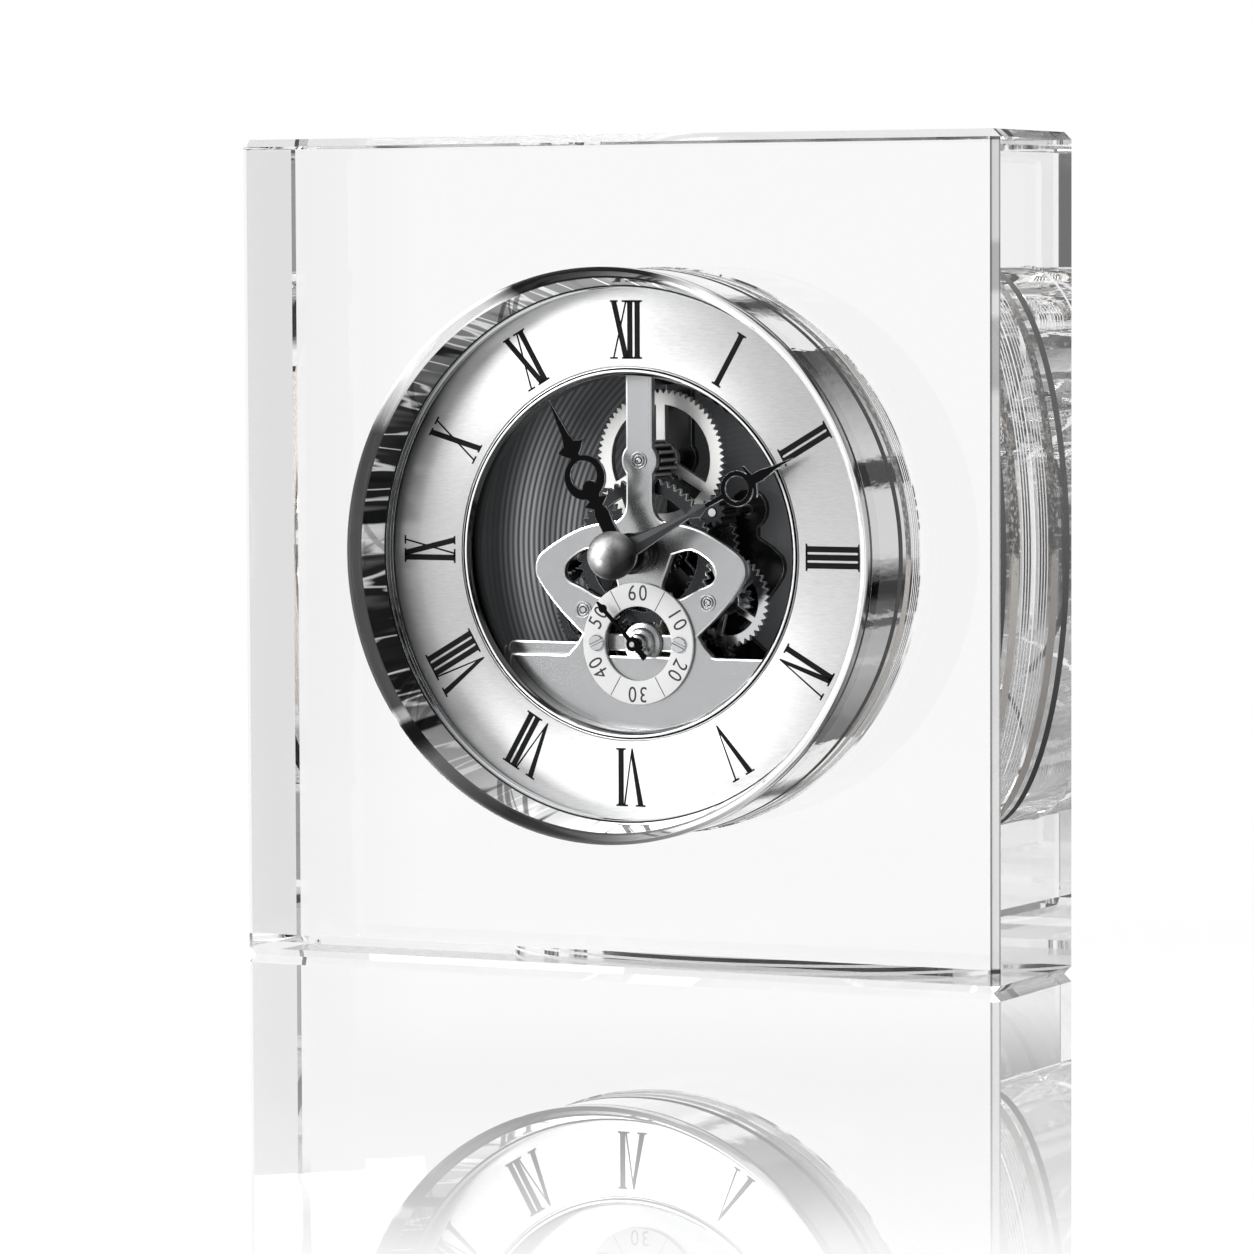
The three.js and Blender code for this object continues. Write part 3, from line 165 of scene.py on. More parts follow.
def turnedFinish(name, hexColour, metallic, roughness, pitch, depth, tone=0.15, centre=(0, 0)):
    # rings left by the lathe tool, pitch mm apart, with uneven widths
    finish, tree, shader = newFinish(name, hexColour, metallic, roughness)
    where = addNode(tree, "ShaderNodeTexCoord")
    moved = addNode(tree, "ShaderNodeMapping", {"Location": (-centre[0] * mm, 0, -(axisZ + centre[1]) * mm)},
                    {"Vector": (where, "Object")})
    flat = addNode(tree, "ShaderNodeVectorMath", {"operation": "MULTIPLY", 1: (1, 0, 1)}, {0: (moved, "Vector")})
    radius = addNode(tree, "ShaderNodeVectorMath", {"operation": "LENGTH"}, {0: (flat, "Vector")})
    along = addNode(tree, "ShaderNodeMath", {"operation": "MULTIPLY", 1: 1 / (pitch * mm)}, {0: (radius, "Value")})
    rings = addNode(tree, "ShaderNodeTexNoise", {"noise_dimensions": "1D", "Scale": 1.0, "Detail": 3.0},
                    {"W": (along, "Value")})
    broad = addNode(tree, "ShaderNodeMath", {"operation": "MULTIPLY", 1: 0.22}, {0: (along, "Value")})
    bands = addNode(tree, "ShaderNodeTexNoise", {"noise_dimensions": "1D", "Scale": 1.0, "Detail": 1.0},
                    {"W": (broad, "Value")})
    both = addNode(tree, "ShaderNodeMath", {"operation": "MULTIPLY"}, {0: (rings, "Fac"), 1: (bands, "Fac")})
    rough = toneRange(tree, rings, "Fac", roughness * 0.7, roughness * 1.3)
    tree.links.new(rough.outputs["Result"], shader.inputs["Roughness"])
    base = toLinear(hexColour)
    darker = tuple(c * (1 - tone) for c in base[:3]) + (1.0,)
    lighter = tuple(min(1, c * (1 + 2 * tone)) for c in base[:3]) + (1.0,)
    colour = addNode(tree, "ShaderNodeMix", {"data_type": "RGBA", 6: darker, 7: lighter}, {0: (both, "Value")})
    tree.links.new(colour.outputs[2], shader.inputs["Base Color"])
    bump = addNode(tree, "ShaderNodeBump", {"Strength": 0.8, "Distance": depth * mm}, {"Height": (both, "Value")})
    tree.links.new(bump.outputs["Normal"], shader.inputs["Normal"])
    return finish


# lead crystal, cast and polished: colourless, shows bright and dark bands only at its edges
crystal, crystalTree, crystalShader = newFinish("polishedCrystal", "#f8f8f8", 0.0, 0.0, 1.52)
crystalShader.inputs["Transmission Weight"].default_value = 1.0
# its hand-ground chamfers: a little greyer, so they draw a pale line round the block
groundCrystal, crystalTree, crystalShader = newFinish("groundCrystalEdge", "#dedede", 0.0, 0.02, 1.52)
crystalShader.inputs["Transmission Weight"].default_value = 1.0

# chrome over turned brass: a mirror with very faint polishing haze
chrome = grainFinish("chromedBrass", "#dcdee0", 1.0, 0.05, (0.8, 0.8, 0.8), 0.02, 0.0006, 0.01)


def groundBore():
    # wall of the bore, polished less finely: long waves 1.6 mm wide break up what it mirrors
    finish, tree, shader = newFinish("polishedCrystalBore", "#f8f8f8", 0.0, 0.0, 1.52)
    shader.inputs["Transmission Weight"].default_value = 1.0
    parts, radius, angle = aroundAxis(tree)
    spread = addNode(tree, "ShaderNodeMath", {"operation": "MULTIPLY", 1: 40.9 / 1.6}, {0: (angle, "Value")})
    along = addNode(tree, "ShaderNodeMath", {"operation": "MULTIPLY", 1: 1 / (9 * mm)}, {0: (parts, "Y")})
    place = addNode(tree, "ShaderNodeCombineXYZ", None, {"X": (spread, "Value"), "Y": (along, "Value")})
    waves = addNode(tree, "ShaderNodeTexNoise", {"Scale": 1.0, "Detail": 2.0}, {"Vector": (place, "Vector")})
    bump = addNode(tree, "ShaderNodeBump", {"Strength": 1.0, "Distance": 0.025 * mm}, {"Height": (waves, "Fac")})
    tree.links.new(bump.outputs["Normal"], shader.inputs["Normal"])
    return finish


def sideChamferPaintedReflections():
    # right front chamfer with painted reflections: grey, with a dark line along both of its edges
    finish, tree, shader = newFinish("crystalSidePaintedReflections", "#f8f8f8", 0.0, 0.02, 1.52)
    shader.inputs["Transmission Weight"].default_value = 1.0
    parts, radius, angle = aroundAxis(tree)
    across = toneRamp(tree, [(-14.25, 0.03), (-14.1, 0.04), (-13.98, 0.5), (-13.6, 0.55), (-13.36, 0.55),
                             (-13.27, 0.1), (-13.15, 0.1)], parts, "Y", mm)
    # painted shade in steps, mm above the axis, for what stands beside the clock
    upward = toneRamp(tree, [(-60, 1), (23, 1), (24.5, 0.4), (33.5, 0.4), (34.5, 1), (37, 1), (38, 0.35), (44, 0.35),
                             (45, 0.8), (60, 0.8)], parts, "Z", mm)
    tone = addNode(tree, "ShaderNodeMix", {"data_type": "RGBA", "blend_type": "MULTIPLY", 0: 1.0},
                   {6: (across, "Color"), 7: (upward, "Color")})
    tree.links.new(tone.outputs[2], shader.inputs["Base Color"])
    return finish


boreCrystal = groundBore()
sideCrystalPaintedReflections = sideChamferPaintedReflections()


def chromePaintedReflections(name, stops, roughness=0.06, streaks=False, glow=0.0):
    # dark chrome with painted reflections: its tone goes round the axis, degrees from XII; painted streaks cross the
    # wall
    # glow is painted light, standing for the light that the crystal round it throws on it
    finish, tree, shader = newFinish(name, "#808284", 1.0, roughness)
    parts, radius, angle = aroundAxis(tree)
    tone, output = toneRamp(tree, stops, angle, "Value", math.radians(1)), "Color"
    if streaks:
        # painted reflection streaks: waves 3.6 mm long round the wall, almost straight across it; a streak wherever one
        # passes its middle height
        spread = addNode(tree, "ShaderNodeMath", {"operation": "MULTIPLY", 1: 39 / 3.6}, {0: (angle, "Value")})
        across = addNode(tree, "ShaderNodeMath", {"operation": "MULTIPLY", 1: 1 / (45 * mm)}, {0: (parts, "Y")})
        place = addNode(tree, "ShaderNodeCombineXYZ", None, {"X": (spread, "Value"), "Y": (across, "Value")})
        waves = addNode(tree, "ShaderNodeTexNoise", {"Scale": 1.0, "Detail": 2.0, "Roughness": 0.5},
                        {"Vector": (place, "Vector")})
        light = toneRamp(tree, [(0, 0), (0.465, 0), (0.485, 0.85), (0.5, 0.85), (0.52, 0), (0.6, 0), (0.68, 0.12),
                                (1, 0.2)], waves, "Fac")
        dark = toneRamp(tree, [(0, 1), (0.33, 1), (0.39, 0), (1, 0)], waves, "Fac")
        lit = addNode(tree, "ShaderNodeMix", {"data_type": "RGBA", 7: toLinear("#f4f4f4")},
                      {0: (light, "Color"), 6: (tone, "Color")})
        tone = addNode(tree, "ShaderNodeMix", {"data_type": "RGBA", 7: toLinear("#1c1d1e")},
                       {0: (dark, "Color"), 6: (lit, 2)})
        output = 2
    tree.links.new(tone.outputs[output], shader.inputs["Base Color"])
    if glow:
        tree.links.new(tone.outputs[output], shader.inputs["Emission Color"])
        shader.inputs["Emission Strength"].default_value = glow
    return finish


def makeBallPaintedLight():
    # ball buffed by hand, with painted light: a soft painted highlight on its upper left, painted shade almost black at
    # its lower right
    finish, tree, shader = newFinish("ballSteelPaintedLight", "#d6d7d8", 1.0, 0.30)
    parts, radius, angle = aroundAxis(tree)
    # painted highlight and shade across the ball, from upper left to lower right
    across = addNode(tree, "ShaderNodeMath", {"operation": "SUBTRACT"}, {0: (parts, "X"), 1: (parts, "Z")})
    tone = toneRamp(tree, [(-5, 0.45), (-3.4, 0.7), (-1.8, 1.0), (-0.6, 0.8), (1.2, 0.38), (2.6, 0.16), (3.6, 0.04),
                           (5, 0.05)], across, "Value", mm)
    where = addNode(tree, "ShaderNodeTexCoord")
    pits = addNode(tree, "ShaderNodeTexNoise", {"Scale": 1 / (0.4 * mm), "Detail": 4.0}, {"Vector": (where, "Object")})
    mottle = toneRange(tree, pits, "Fac", 0.7, 1.3)
    colour = addNode(tree, "ShaderNodeMix", {"data_type": "RGBA", "blend_type": "MULTIPLY", 0: 1.0},
                     {6: (tone, "Color"), 7: (mottle, "Result")})
    tree.links.new(colour.outputs[2], shader.inputs["Base Color"])
    rough = toneRange(tree, pits, "Fac", 0.36, 0.58)
    tree.links.new(rough.outputs["Result"], shader.inputs["Roughness"])
    return finish


def spunLacquer():
    # dark lacquer over a spun cover: grooves 0.87 mm apart, round a point right of the axis, with a painted sheen
    # lighting them on one side
    finish, tree, shader = newFinish("darkSpunAluminiumPaintedSheen", "#2b2c2e", 0.3, 0.32)
    parts, radius, angle = aroundAxis(tree, 11.0)
    turns = addNode(tree, "ShaderNodeMath", {"operation": "MULTIPLY", 1: fullTurn / (0.87 * mm)},
                    {0: (radius, "Value")})
    wave = addNode(tree, "ShaderNodeMath", {"operation": "SINE"}, {0: (turns, "Value")})
    along = addNode(tree, "ShaderNodeMath", {"operation": "MULTIPLY", 1: 1 / (0.6 * mm)}, {0: (radius, "Value")})
    uneven = addNode(tree, "ShaderNodeTexNoise", {"noise_dimensions": "1D", "Scale": 1.0, "Detail": 3.0},
                     {"W": (along, "Value")})
    height = addNode(tree, "ShaderNodeMath", {"operation": "MULTIPLY"}, {0: (wave, "Value"), 1: (uneven, "Fac")})
    grooves = addNode(tree, "ShaderNodeMapRange", {"From Min": -0.45, "From Max": 0.5, "To Min": 0.12},
                      {"Value": (height, "Value")})
    paintedSheen = toneRamp(tree, [(-180, 0.03), (-124, 0.1), (-108, 0.75), (-95, 1), (-80, 0.95), (-66, 0.5), (-56, 0.18),
                            (-30, 0.08), (180, 0.03)], angle, "Value", math.radians(1))
    reach = toneRamp(tree, [(0, 0.1), (22, 0.1), (28, 0.35), (30, 0.85), (34, 0.55), (37, 1), (38.8, 0.8),
                            (40.4, 0.25), (42.5, 0.02), (60, 0.02)], radius, "Value", mm)
    lit = addNode(tree, "ShaderNodeMath", {"operation": "MULTIPLY"}, {0: (paintedSheen, "Color"), 1: (reach, "Color")})
    share = addNode(tree, "ShaderNodeMath", {"operation": "MULTIPLY"}, {0: (lit, "Value"), 1: (grooves, "Result")})
    # away from the painted groove sheen the lacquer is plain, with painted light making it greyer on the right
    paintedRightLight = toneRamp(tree, [(-180, 0.2), (-124, 0), (-30, 0), (0, 0.5), (60, 1), (140, 1), (180, 0.3)], angle,
                     "Value", math.radians(1))
    dark = addNode(tree, "ShaderNodeMix", {"data_type": "RGBA", 6: toLinear("#2c2d2e"), 7: toLinear("#4e4f51")},
                   {0: (paintedRightLight, "Color")})
    colour = addNode(tree, "ShaderNodeMix", {"data_type": "RGBA", 7: toLinear("#b4b6b8")},
                     {0: (share, "Value"), 6: (dark, 2)})
    tree.links.new(colour.outputs[2], shader.inputs["Base Color"])
    # painted reflection: the groove light stands for the turned wall of the case mirrored in the lacquer, and glows as
    # painted light
    tree.links.new(colour.outputs[2], shader.inputs["Emission Color"])
    shader.inputs["Emission Strength"].default_value = 0.6
    bump = addNode(tree, "ShaderNodeBump", {"Strength": 0.25, "Distance": 0.03 * mm}, {"Height": (height, "Value")})
    tree.links.new(bump.outputs["Normal"], shader.inputs["Normal"])
    return finish


def ribbedSteel():
    # pinion cut from black steel, its ribs with painted shade black in the grooves and a painted highlight bright on
    # the tips
    finish, tree, shader = newFinish("ribSteelPaintedShade", "#aeb0b2", 0.6, 0.30)
    parts, radius, angle = aroundAxis(tree, 0.0, 13.3)
    tone = toneRamp(tree, [(2.0, 0.004), (2.45, 0.006), (2.62, 0.1), (2.78, 0.7), (3.0, 0.85)], radius, "Value", mm)
    tree.links.new(tone.outputs["Color"], shader.inputs["Base Color"])
    return finish


def blackLacquerPaintedEdges():
    # black lacquer with a painted edge highlight: a thin line of bare-metal colour along the edges of the plate
    finish, tree, shader = newFinish("blackLacquerPaintedEdgeHighlight", "#151617", 0.0, 0.2, 1.45)
    shape = addNode(tree, "ShaderNodeNewGeometry")
    soft = addNode(tree, "ShaderNodeBevel", {"samples": 6, "Radius": 0.22 * mm})
    bend = addNode(tree, "ShaderNodeVectorMath", {"operation": "DOT_PRODUCT"},
                   {0: (shape, "Normal"), 1: (soft, "Normal")})
    share = toneRamp(tree, [(0, 1), (0.90, 0.9), (0.985, 0), (1, 0)], bend, "Value")
    colour = addNode(tree, "ShaderNodeMix", {"data_type": "RGBA", 6: toLinear("#151617"), 7: toLinear("#c8cacc")},
                     {0: (share, "Color")})
    tree.links.new(colour.outputs[2], shader.inputs["Base Color"])
    tree.links.new(share.outputs["Color"], shader.inputs["Metallic"])
    return finish


def speckledSealant():
    # sealing bead pressed against the glass: almost black, with pale and brown specks
    finish, tree, shader = newFinish("speckledSealant", "#1a1714", 0.0, 0.4)
    where = addNode(tree, "ShaderNodeTexCoord")
    specks = addNode(tree, "ShaderNodeTexNoise", {"Scale": 1 / (0.9 * mm), "Detail": 4.0, "Roughness": 0.7},
                     {"Vector": (where, "Object")})
    # the specks cover it below III and on the left, where it took up more of the white glue
    parts, radius, angle = aroundAxis(tree)
    glued = toneRamp(tree, [(-180, 0.3), (-60, 0.3), (0, 0.08), (88, 0.0), (94, 0.28), (150, 0.3), (180, 0.3)],
                     angle, "Value", math.radians(1))
    amount = addNode(tree, "ShaderNodeMath", {"operation": "ADD"}, {0: (specks, "Fac"), 1: (glued, "Color")})
    share = toneRamp(tree, [(0, 0), (0.5, 0.04), (0.66, 1), (1.3, 1)], amount, "Value")
    colour = addNode(tree, "ShaderNodeMix", {"data_type": "RGBA", 6: toLinear("#2c2a28"), 7: toLinear("#d8d2cc")},
                     {0: (share, "Color")})
    tree.links.new(colour.outputs[2], shader.inputs["Base Color"])
    return finish


def sunrayDial():
    # silvered aluminium, brushed from the centre out: bright above and below, greyer at the sides
    finish, tree, shader = newFinish("sunrayBrushedSilver", "#e8e8e6", 1.0, 0.34)
    shader.inputs["Anisotropic"].default_value = 0.75
    shader.inputs["Anisotropic Rotation"].default_value = 0.25
    around = addNode(tree, "ShaderNodeTangent", {"direction_type": "RADIAL", "axis": "Y"})
    tree.links.new(around.outputs["Tangent"], shader.inputs["Tangent"])
    where = addNode(tree, "ShaderNodeTexCoord")
    # threads 1.4 mm long and 0.16 mm wide, wavy
    mapped = addNode(tree, "ShaderNodeMapping", {"Scale": (1 / (1.4 * mm), 1 / mm, 1 / (0.16 * mm))},
                     {"Vector": (where, "Object")})
    threads = addNode(tree, "ShaderNodeTexNoise", {"Scale": 1.0, "Detail": 4.0, "Distortion": 0.8},
                      {"Vector": (mapped, "Vector")})
    rough = toneRange(tree, threads, "Fac", 0.26, 0.44)
    tree.links.new(rough.outputs["Result"], shader.inputs["Roughness"])
    colour = addNode(tree, "ShaderNodeMix", {"data_type": "RGBA", 6: toLinear("#cfcfcf"), 7: toLinear("#f2f2f2")},
                     {0: (threads, "Fac")})
    # painted reflection of the bezel's dark wall: painted shade on the left border, 4 mm wide at X
    parts, radius, angle = aroundAxis(tree)
    border = toneRamp(tree, [(0, 0), (33.6, 0), (36.2, 0.5), (37.4, 0.9), (38.4, 1)], radius, "Value", mm)
    leftSide = toneRamp(tree, [(-180, 0.0), (-136, 0.1), (-110, 0.6), (-60, 0.9), (-38, 0.25), (-20, 0.0), (180, 0)],
                        angle, "Value", math.radians(1))
    shade = addNode(tree, "ShaderNodeMath", {"operation": "MULTIPLY"}, {0: (border, "Color"), 1: (leftSide, "Color")})
    colour = addNode(tree, "ShaderNodeMix", {"data_type": "RGBA", 7: toLinear("#2c2c2c")},
                     {0: (shade, "Value"), 6: (colour, 2)})
    tree.links.new(colour.outputs[2], shader.inputs["Base Color"])
    bump = addNode(tree, "ShaderNodeBump", {"Strength": 0.6, "Distance": 0.012 * mm}, {"Height": (threads, "Fac")})
    tree.links.new(bump.outputs["Normal"], shader.inputs["Normal"])
    return finish


# the bezel's sloping lip, painted reflections: black over XII and at VIII, mid grey at IX; its glow is painted light
lipChrome = chromePaintedReflections("lipChromePaintedReflections", [
    (-180, 0.06), (-158, 0.03), (-146, 0.09), (-138, 0.14), (-133, 0.01), (-128, 0.01), (-126, 0.6), (-124, 0.08),
    (-90, 0.08), (-64, 0.06), (-60, 0.35), (-50, 0.8), (-28, 0.8), (-20, 0.01), (12, 0.01), (24, 0.6),
    (120, 0.8), (160, 0.2), (180, 0.06)], 0.1, glow=0.85)
# the bezel's wall, painted reflections: near black at IX, paler towards VI and XI, crossed by painted bright streaks;
# its glow is painted light
wallChrome = chromePaintedReflections("wallChromePaintedReflections", [
    (-180, 0.75), (-140, 0.5), (-128, 0.35), (-122, 0.02), (-91.5, 0.02), (-89.5, 0.4), (-86, 0.85), (-83, 0.75), (-81, 0.02),
    (-58, 0.03), (-50, 0.16), (-20, 0.30), (0, 0.06), (60, 0.05), (120, 0.05), (160, 0.5), (180, 0.75)],
    0.07, True, 0.35)
# inner wall of the window's rim, painted reflections: dark at the left, bright below
rimChrome = chromePaintedReflections("rimChromePaintedReflections", [
    (-180, 0.9), (-155, 0.7), (-135, 0.10), (-110, 0.03), (-50, 0.05), (-20, 0.4), (90, 0.5), (150, 0.8),
    (180, 0.9)], 0.08)
sealant = speckledSealant()
ballSteelPaintedLight = makeBallPaintedLight()
# bezel's and case's outer walls: dark chrome with painted reflection streaks along the barrel, mirrored many times by
# the crystal; its glow is painted light
caseChromePainted = chromePaintedReflections("caseChromePaintedReflections", [(-180, 0.12), (-60, 0.3), (60, 0.3), (85, 0.12), (105, 0.2), (180, 0.12)],
                         0.12, True, 0.35)
# silicone seal behind the rubber band: milky white, with a faint glow of painted light
paleSealant = grainFinish("milkySilicone", "#f0f0f0", 0.0, 0.5, (0.6, 0.6, 0.6), 0.08, 0.004, 0.04, 1.42)
paleShader = paleSealant.node_tree.nodes["Principled BSDF"]
# painted light: the seal glows faintly white
paleShader.inputs["Emission Color"].default_value = toLinear("#ffffff")
paleShader.inputs["Emission Strength"].default_value = 0.3
dialSilver = sunrayDial()
# black printing ink on the dial: dense and slightly soft
dialInk = grainFinish("printedInk", "#060607", 0.0, 0.45, (0.15, 0.15, 0.15), 0.08, 0.003, 0.2, 1.25)
# nickel-plated steel, satin: pale and soft, with polished bevels below
satinSteel = grainFinish("satinNickelSteel", "#bcbdbe", 1.0, 0.24, (1.2, 1.2, 1.2), 0.03, 0.0006, 0.015)
# the same steel on its burnished cut edges, its base colour raised as a painted highlight: thin bright lines
bevelSteel = grainFinish("bevelSteelPaintedHighlight", "#f6f6f6", 1.0, 0.30, (0.4, 0.4, 0.4), 0.04, 0.0005, 0.02)
# polished steel on arbors, screws and pinions
polishedSteel = grainFinish("polishedSteel", "#d2d4d6", 1.0, 0.14, (0.3, 0.9, 0.3), 0.05, 0.002, 0.04)
# blackened hands under thin lacquer: deep black with sharp lights
blackHands = grainFinish("blackLacqueredSteel", "#030303", 0.0, 0.2, (0.25, 0.25, 0.25), 0.04, 0.002, 0.2, 1.18)
# their bevelled edges, where the lacquer is thin: fine grey outlines
handEdge = grainFinish("thinLacqueredEdge", "#a4a6a8", 1.0, 0.25, (0.25, 0.25, 0.25), 0.04, 0.001, 0.1)
# keel of the minute hand, polished before blackening: mid grey, its two facets part the light
keelSteel = grainFinish("darkPolishedSteel", "#3c3d3f", 0.0, 0.4, (0.3, 0.3, 0.3), 0.05, 0.002, 0.1, 1.3)
# blackened wheels: softer black, lights along the teeth
blackWheels = grainFinish("blackenedSteel", "#3c3d3f", 1.0, 0.28, (0.3, 0.3, 0.3), 0.06, 0.002, 0.12)
# silvered brass wheel, lapped flat: pale grey, bright along its tooth tips
silverWheel = grainFinish("lappedSilveredBrass", "#e6e6e4", 1.0, 0.36, (0.3, 0.3, 0.3), 0.07, 0.004, 0.05)
# white dial of the seconds, printed tin: matt white
secondsWhite = grainFinish("whitePrintedTin", "#ebebeb", 0.0, 0.42, (0.2, 0.2, 0.2), 0.06, 0.002, 0.02, 1.5)
# dark grey printing on the seconds dial
secondsInk = grainFinish("greyPrintedInk", "#2a2b2d", 0.0, 0.5, (0.15, 0.15, 0.15), 0.06, 0.002, 0.1, 1.48)
# black lacquered plate: gloss with a little orange peel
blackPlate = grainFinish("blackLacqueredBrass", "#151617", 0.0, 0.16, (0.7, 0.7, 0.7), 0.04, 0.01, 0.1, 1.45)
# cut brass under nickel plating: pale, faintly warm
bareBrass = grainFinish("nickelledBrass", "#b8b2a6", 1.0, 0.28, (0.4, 0.4, 0.2), 0.07, 0.003, 0.08)
# satin turned aluminium of the case, tool rings 0.35 mm apart
turnedCase = turnedFinish("turnedAluminium", "#b4b6b8", 0.8, 0.28, 0.35, 0.010, 0.10)
spunCover = spunLacquer()
# pinion leaves: painted shade on their dark flanks, painted highlight on their pale edges
ribSteel = ribbedSteel()
leafSteel = grainFinish("burnishedLeafSteel", "#6c6e70", 1.0, 0.20, (0.3, 0.9, 0.3), 0.05, 0.002, 0.1)
# moulded rubber of the grip band: matt with fine pits
gripRubber = grainFinish("mouldedRubber", "#1b1b1c", 0.0, 0.75, (0.12, 0.12, 0.12), 0.08, 0.02, 0.15, 1.52)
# ABS of the cradle and the knob: fine spark-eroded texture
mouldedBlack = grainFinish("texturedAbs", "#1d1e20", 0.0, 0.5, (0.18, 0.18, 0.18), 0.08, 0.015, 0.12, 1.53)
# printed steel jacket of the cell
cellJacket = grainFinish("printedSteelJacket", "#6d7075", 0.6, 0.35, (2.5, 0.3, 0.3), 0.06, 0.003, 0.12)
# enamelled copper wire, turns 0.12 mm apart
copperWire = grainFinish("enamelledCopper", "#a85f35", 1.0, 0.32, (0.12, 3.0, 3.0), 0.08, 0.03, 0.25)
# green solder resist over glass-fibre laminate
boardResist = grainFinish("solderResist", "#1d5c3c", 0.0, 0.32, (0.9, 0.9, 0.5), 0.06, 0.006, 0.15, 1.5)
# sintered magnet: dull grey, grainy
sinteredMagnet = grainFinish("sinteredMagnet", "#54585c", 0.8, 0.45, (0.1, 0.1, 0.1), 0.08, 0.01, 0.2)
print("finishes made")


# mesh tools: x to the right, y up from the axis, p towards the viewer
def spotOf(x, y, p):
    return (x * mm, (faceY - p) * mm, (axisZ + y) * mm)


def makePiece(name, corners, faces, finishes, faceKinds=None, sharpAngle=32):
    mesh = bpy.data.meshes.new(name)
    mesh.from_pydata([spotOf(*c) for c in corners], [], faces)
    for finish in finishes:
        mesh.materials.append(finish)
    if faceKinds:
        mesh.polygons.foreach_set("material_index", faceKinds)
    mesh.validate()
    mesh.shade_smooth()
    mesh.set_sharp_from_angle(angle=math.radians(sharpAngle))
    piece = bpy.data.objects.new(name, mesh)
    bpy.context.scene.collection.objects.link(piece)
    return piece


def dress(piece, body, slotName, *nodes):
    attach(piece, body)
    if nodes:
        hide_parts(*nodes)
    return piece


def eased(profile, size):
    # breaks each corner of a profile with a small round
    closed = profile[0][0] > 0
    points = []
    count = len(profile)
    for i, corner in enumerate(profile):
        if not closed and i in (0, count - 1):
            points.append(corner)
            continue
        here = Vector(corner)
        before, after = Vector(profile[i - 1]), Vector(profile[(i + 1) % count])
        a = min(size, (before - here).length * 0.4)
        b = min(size, (after - here).length * 0.4)
        start = here + (before - here).normalized() * a
        end = here + (after - here).normalized() * b
        for t in (0, 0.33, 0.67, 1):
            points.append(tuple(start * (1 - t) ** 2 + here * 2 * t * (1 - t) + end * t * t))
    return points


def turnPiece(name, profile, finish, at=(0, 0), steps=192, ease=0.08):
    # profile = (radius, p) pairs; a ring if its first radius is over 0
    closed = profile[0][0] > 0
    path = eased(profile, ease) if ease else list(profile)
    area = sum(a[0] * b[1] - b[0] * a[1] for a, b in zip(path, path[1:] + path[:1]))
    if area < 0:
        path.reverse()
    corners, rings = [], []
    for radius, p in path:
        if radius < 1e-6:
            rings.append([len(corners)] * steps)
            corners.append((at[0], at[1], p))
            continue
        rings.append(list(range(len(corners), len(corners) + steps)))
        for i in range(steps):
            angle = fullTurn * i / steps
            corners.append((at[0] + radius * math.cos(angle), at[1] + radius * math.sin(angle), p))
    faces = []
    pairs = list(zip(rings, rings[1:])) + ([(rings[-1], rings[0])] if closed else [])
    for low, high in pairs:
        for i in range(steps):
            j = (i + 1) % steps
            face = []
            for corner in (low[i], low[j], high[j], high[i]):
                if corner not in face:
                    face.append(corner)
            if len(face) > 2:
                faces.append(face)
    return makePiece(name, corners, faces, [finish])


def insetLoop(loop, size):
    # the loop moved to its left by size: into the material for outer loops and for holes
    moved = []
    count = len(loop)
    for i in range(count):
        here = Vector(loop[i])
        back, ahead = here - Vector(loop[i - 1]), Vector(loop[(i + 1) % count]) - here
        if back.length < 1e-9 or ahead.length < 1e-9:
            moved.append(tuple(here))
            continue
        leftBack = Vector((-back.y, back.x)).normalized()
        leftAhead = Vector((-ahead.y, ahead.x)).normalized()
        middle = leftBack + leftAhead
        length = max(middle.length, 0.7)
        moved.append(tuple(here + middle.normalized() * size * min(2 / length, 1.6)))
    return moved


def loopArea(loop):
    return sum(a[0] * b[1] - b[0] * a[1] for a, b in zip(loop, loop[1:] + loop[:1])) / 2


def cutPiece(name, outer, holes, front, back, finishes, edge=0.08, sharpAngle=28, drop=None):
    # flat plate cut to an outline, its edges broken by a bevel: edge wide and drop deep
    drop = edge if drop is None else drop
    loops = [list(outer) if loopArea(outer) > 0 else list(reversed(outer))]
    loops += [list(h) if loopArea(h) < 0 else list(reversed(h)) for h in holes]
    corners, faces, kinds = [], [], []
    flats = [[], []]
    for loop in loops:
        inner = insetLoop(loop, edge) if edge else loop
        levels = [(inner, front), (loop, front - drop), (loop, back + drop), (inner, back)]
        if not edge:
            levels = [(loop, front), (loop, back)]
        starts = []
        for points, p in levels:
            starts.append(len(corners))
            corners += [(x, y, p) for x, y in points]
        count = len(loop)
        for level in range(len(levels) - 1):
            for i in range(count):
                j = (i + 1) % count
                a, b = starts[level], starts[level + 1]
                faces.append((a + i, b + i, b + j, a + j))
                kinds.append(1 if len(finishes) > 1 else 0)
        flats[0].append((inner, starts[0]))
        flats[1].append((inner, starts[-1]))
    for side, parts in enumerate(flats):
        index = [start + i for points, start in parts for i in range(len(points))]
        triangles = tessellate_polygon([[Vector((x, y, 0)) for x, y in points] for points, _ in parts])
        for triangle in triangles:
            a, b, c = (index[i] for i in triangle)
            (ax, ay, _), (bx, by, _), (cx, cy, _) = corners[a], corners[b], corners[c]
            turnsLeft = (bx - ax) * (cy - ay) - (by - ay) * (cx - ax) > 0
            faces.append((a, b, c) if turnsLeft == (side == 0) else (c, b, a))
            kinds.append(0)
    return makePiece(name, corners, faces, finishes, kinds, sharpAngle)


def arc(at, radius, start, end, steps=24):
    # points on an arc, angles in degrees
    return [(at[0] + radius * math.cos(math.radians(start + (end - start) * i / steps)),
             at[1] + radius * math.sin(math.radians(start + (end - start) * i / steps)))
            for i in range(steps + 1)]


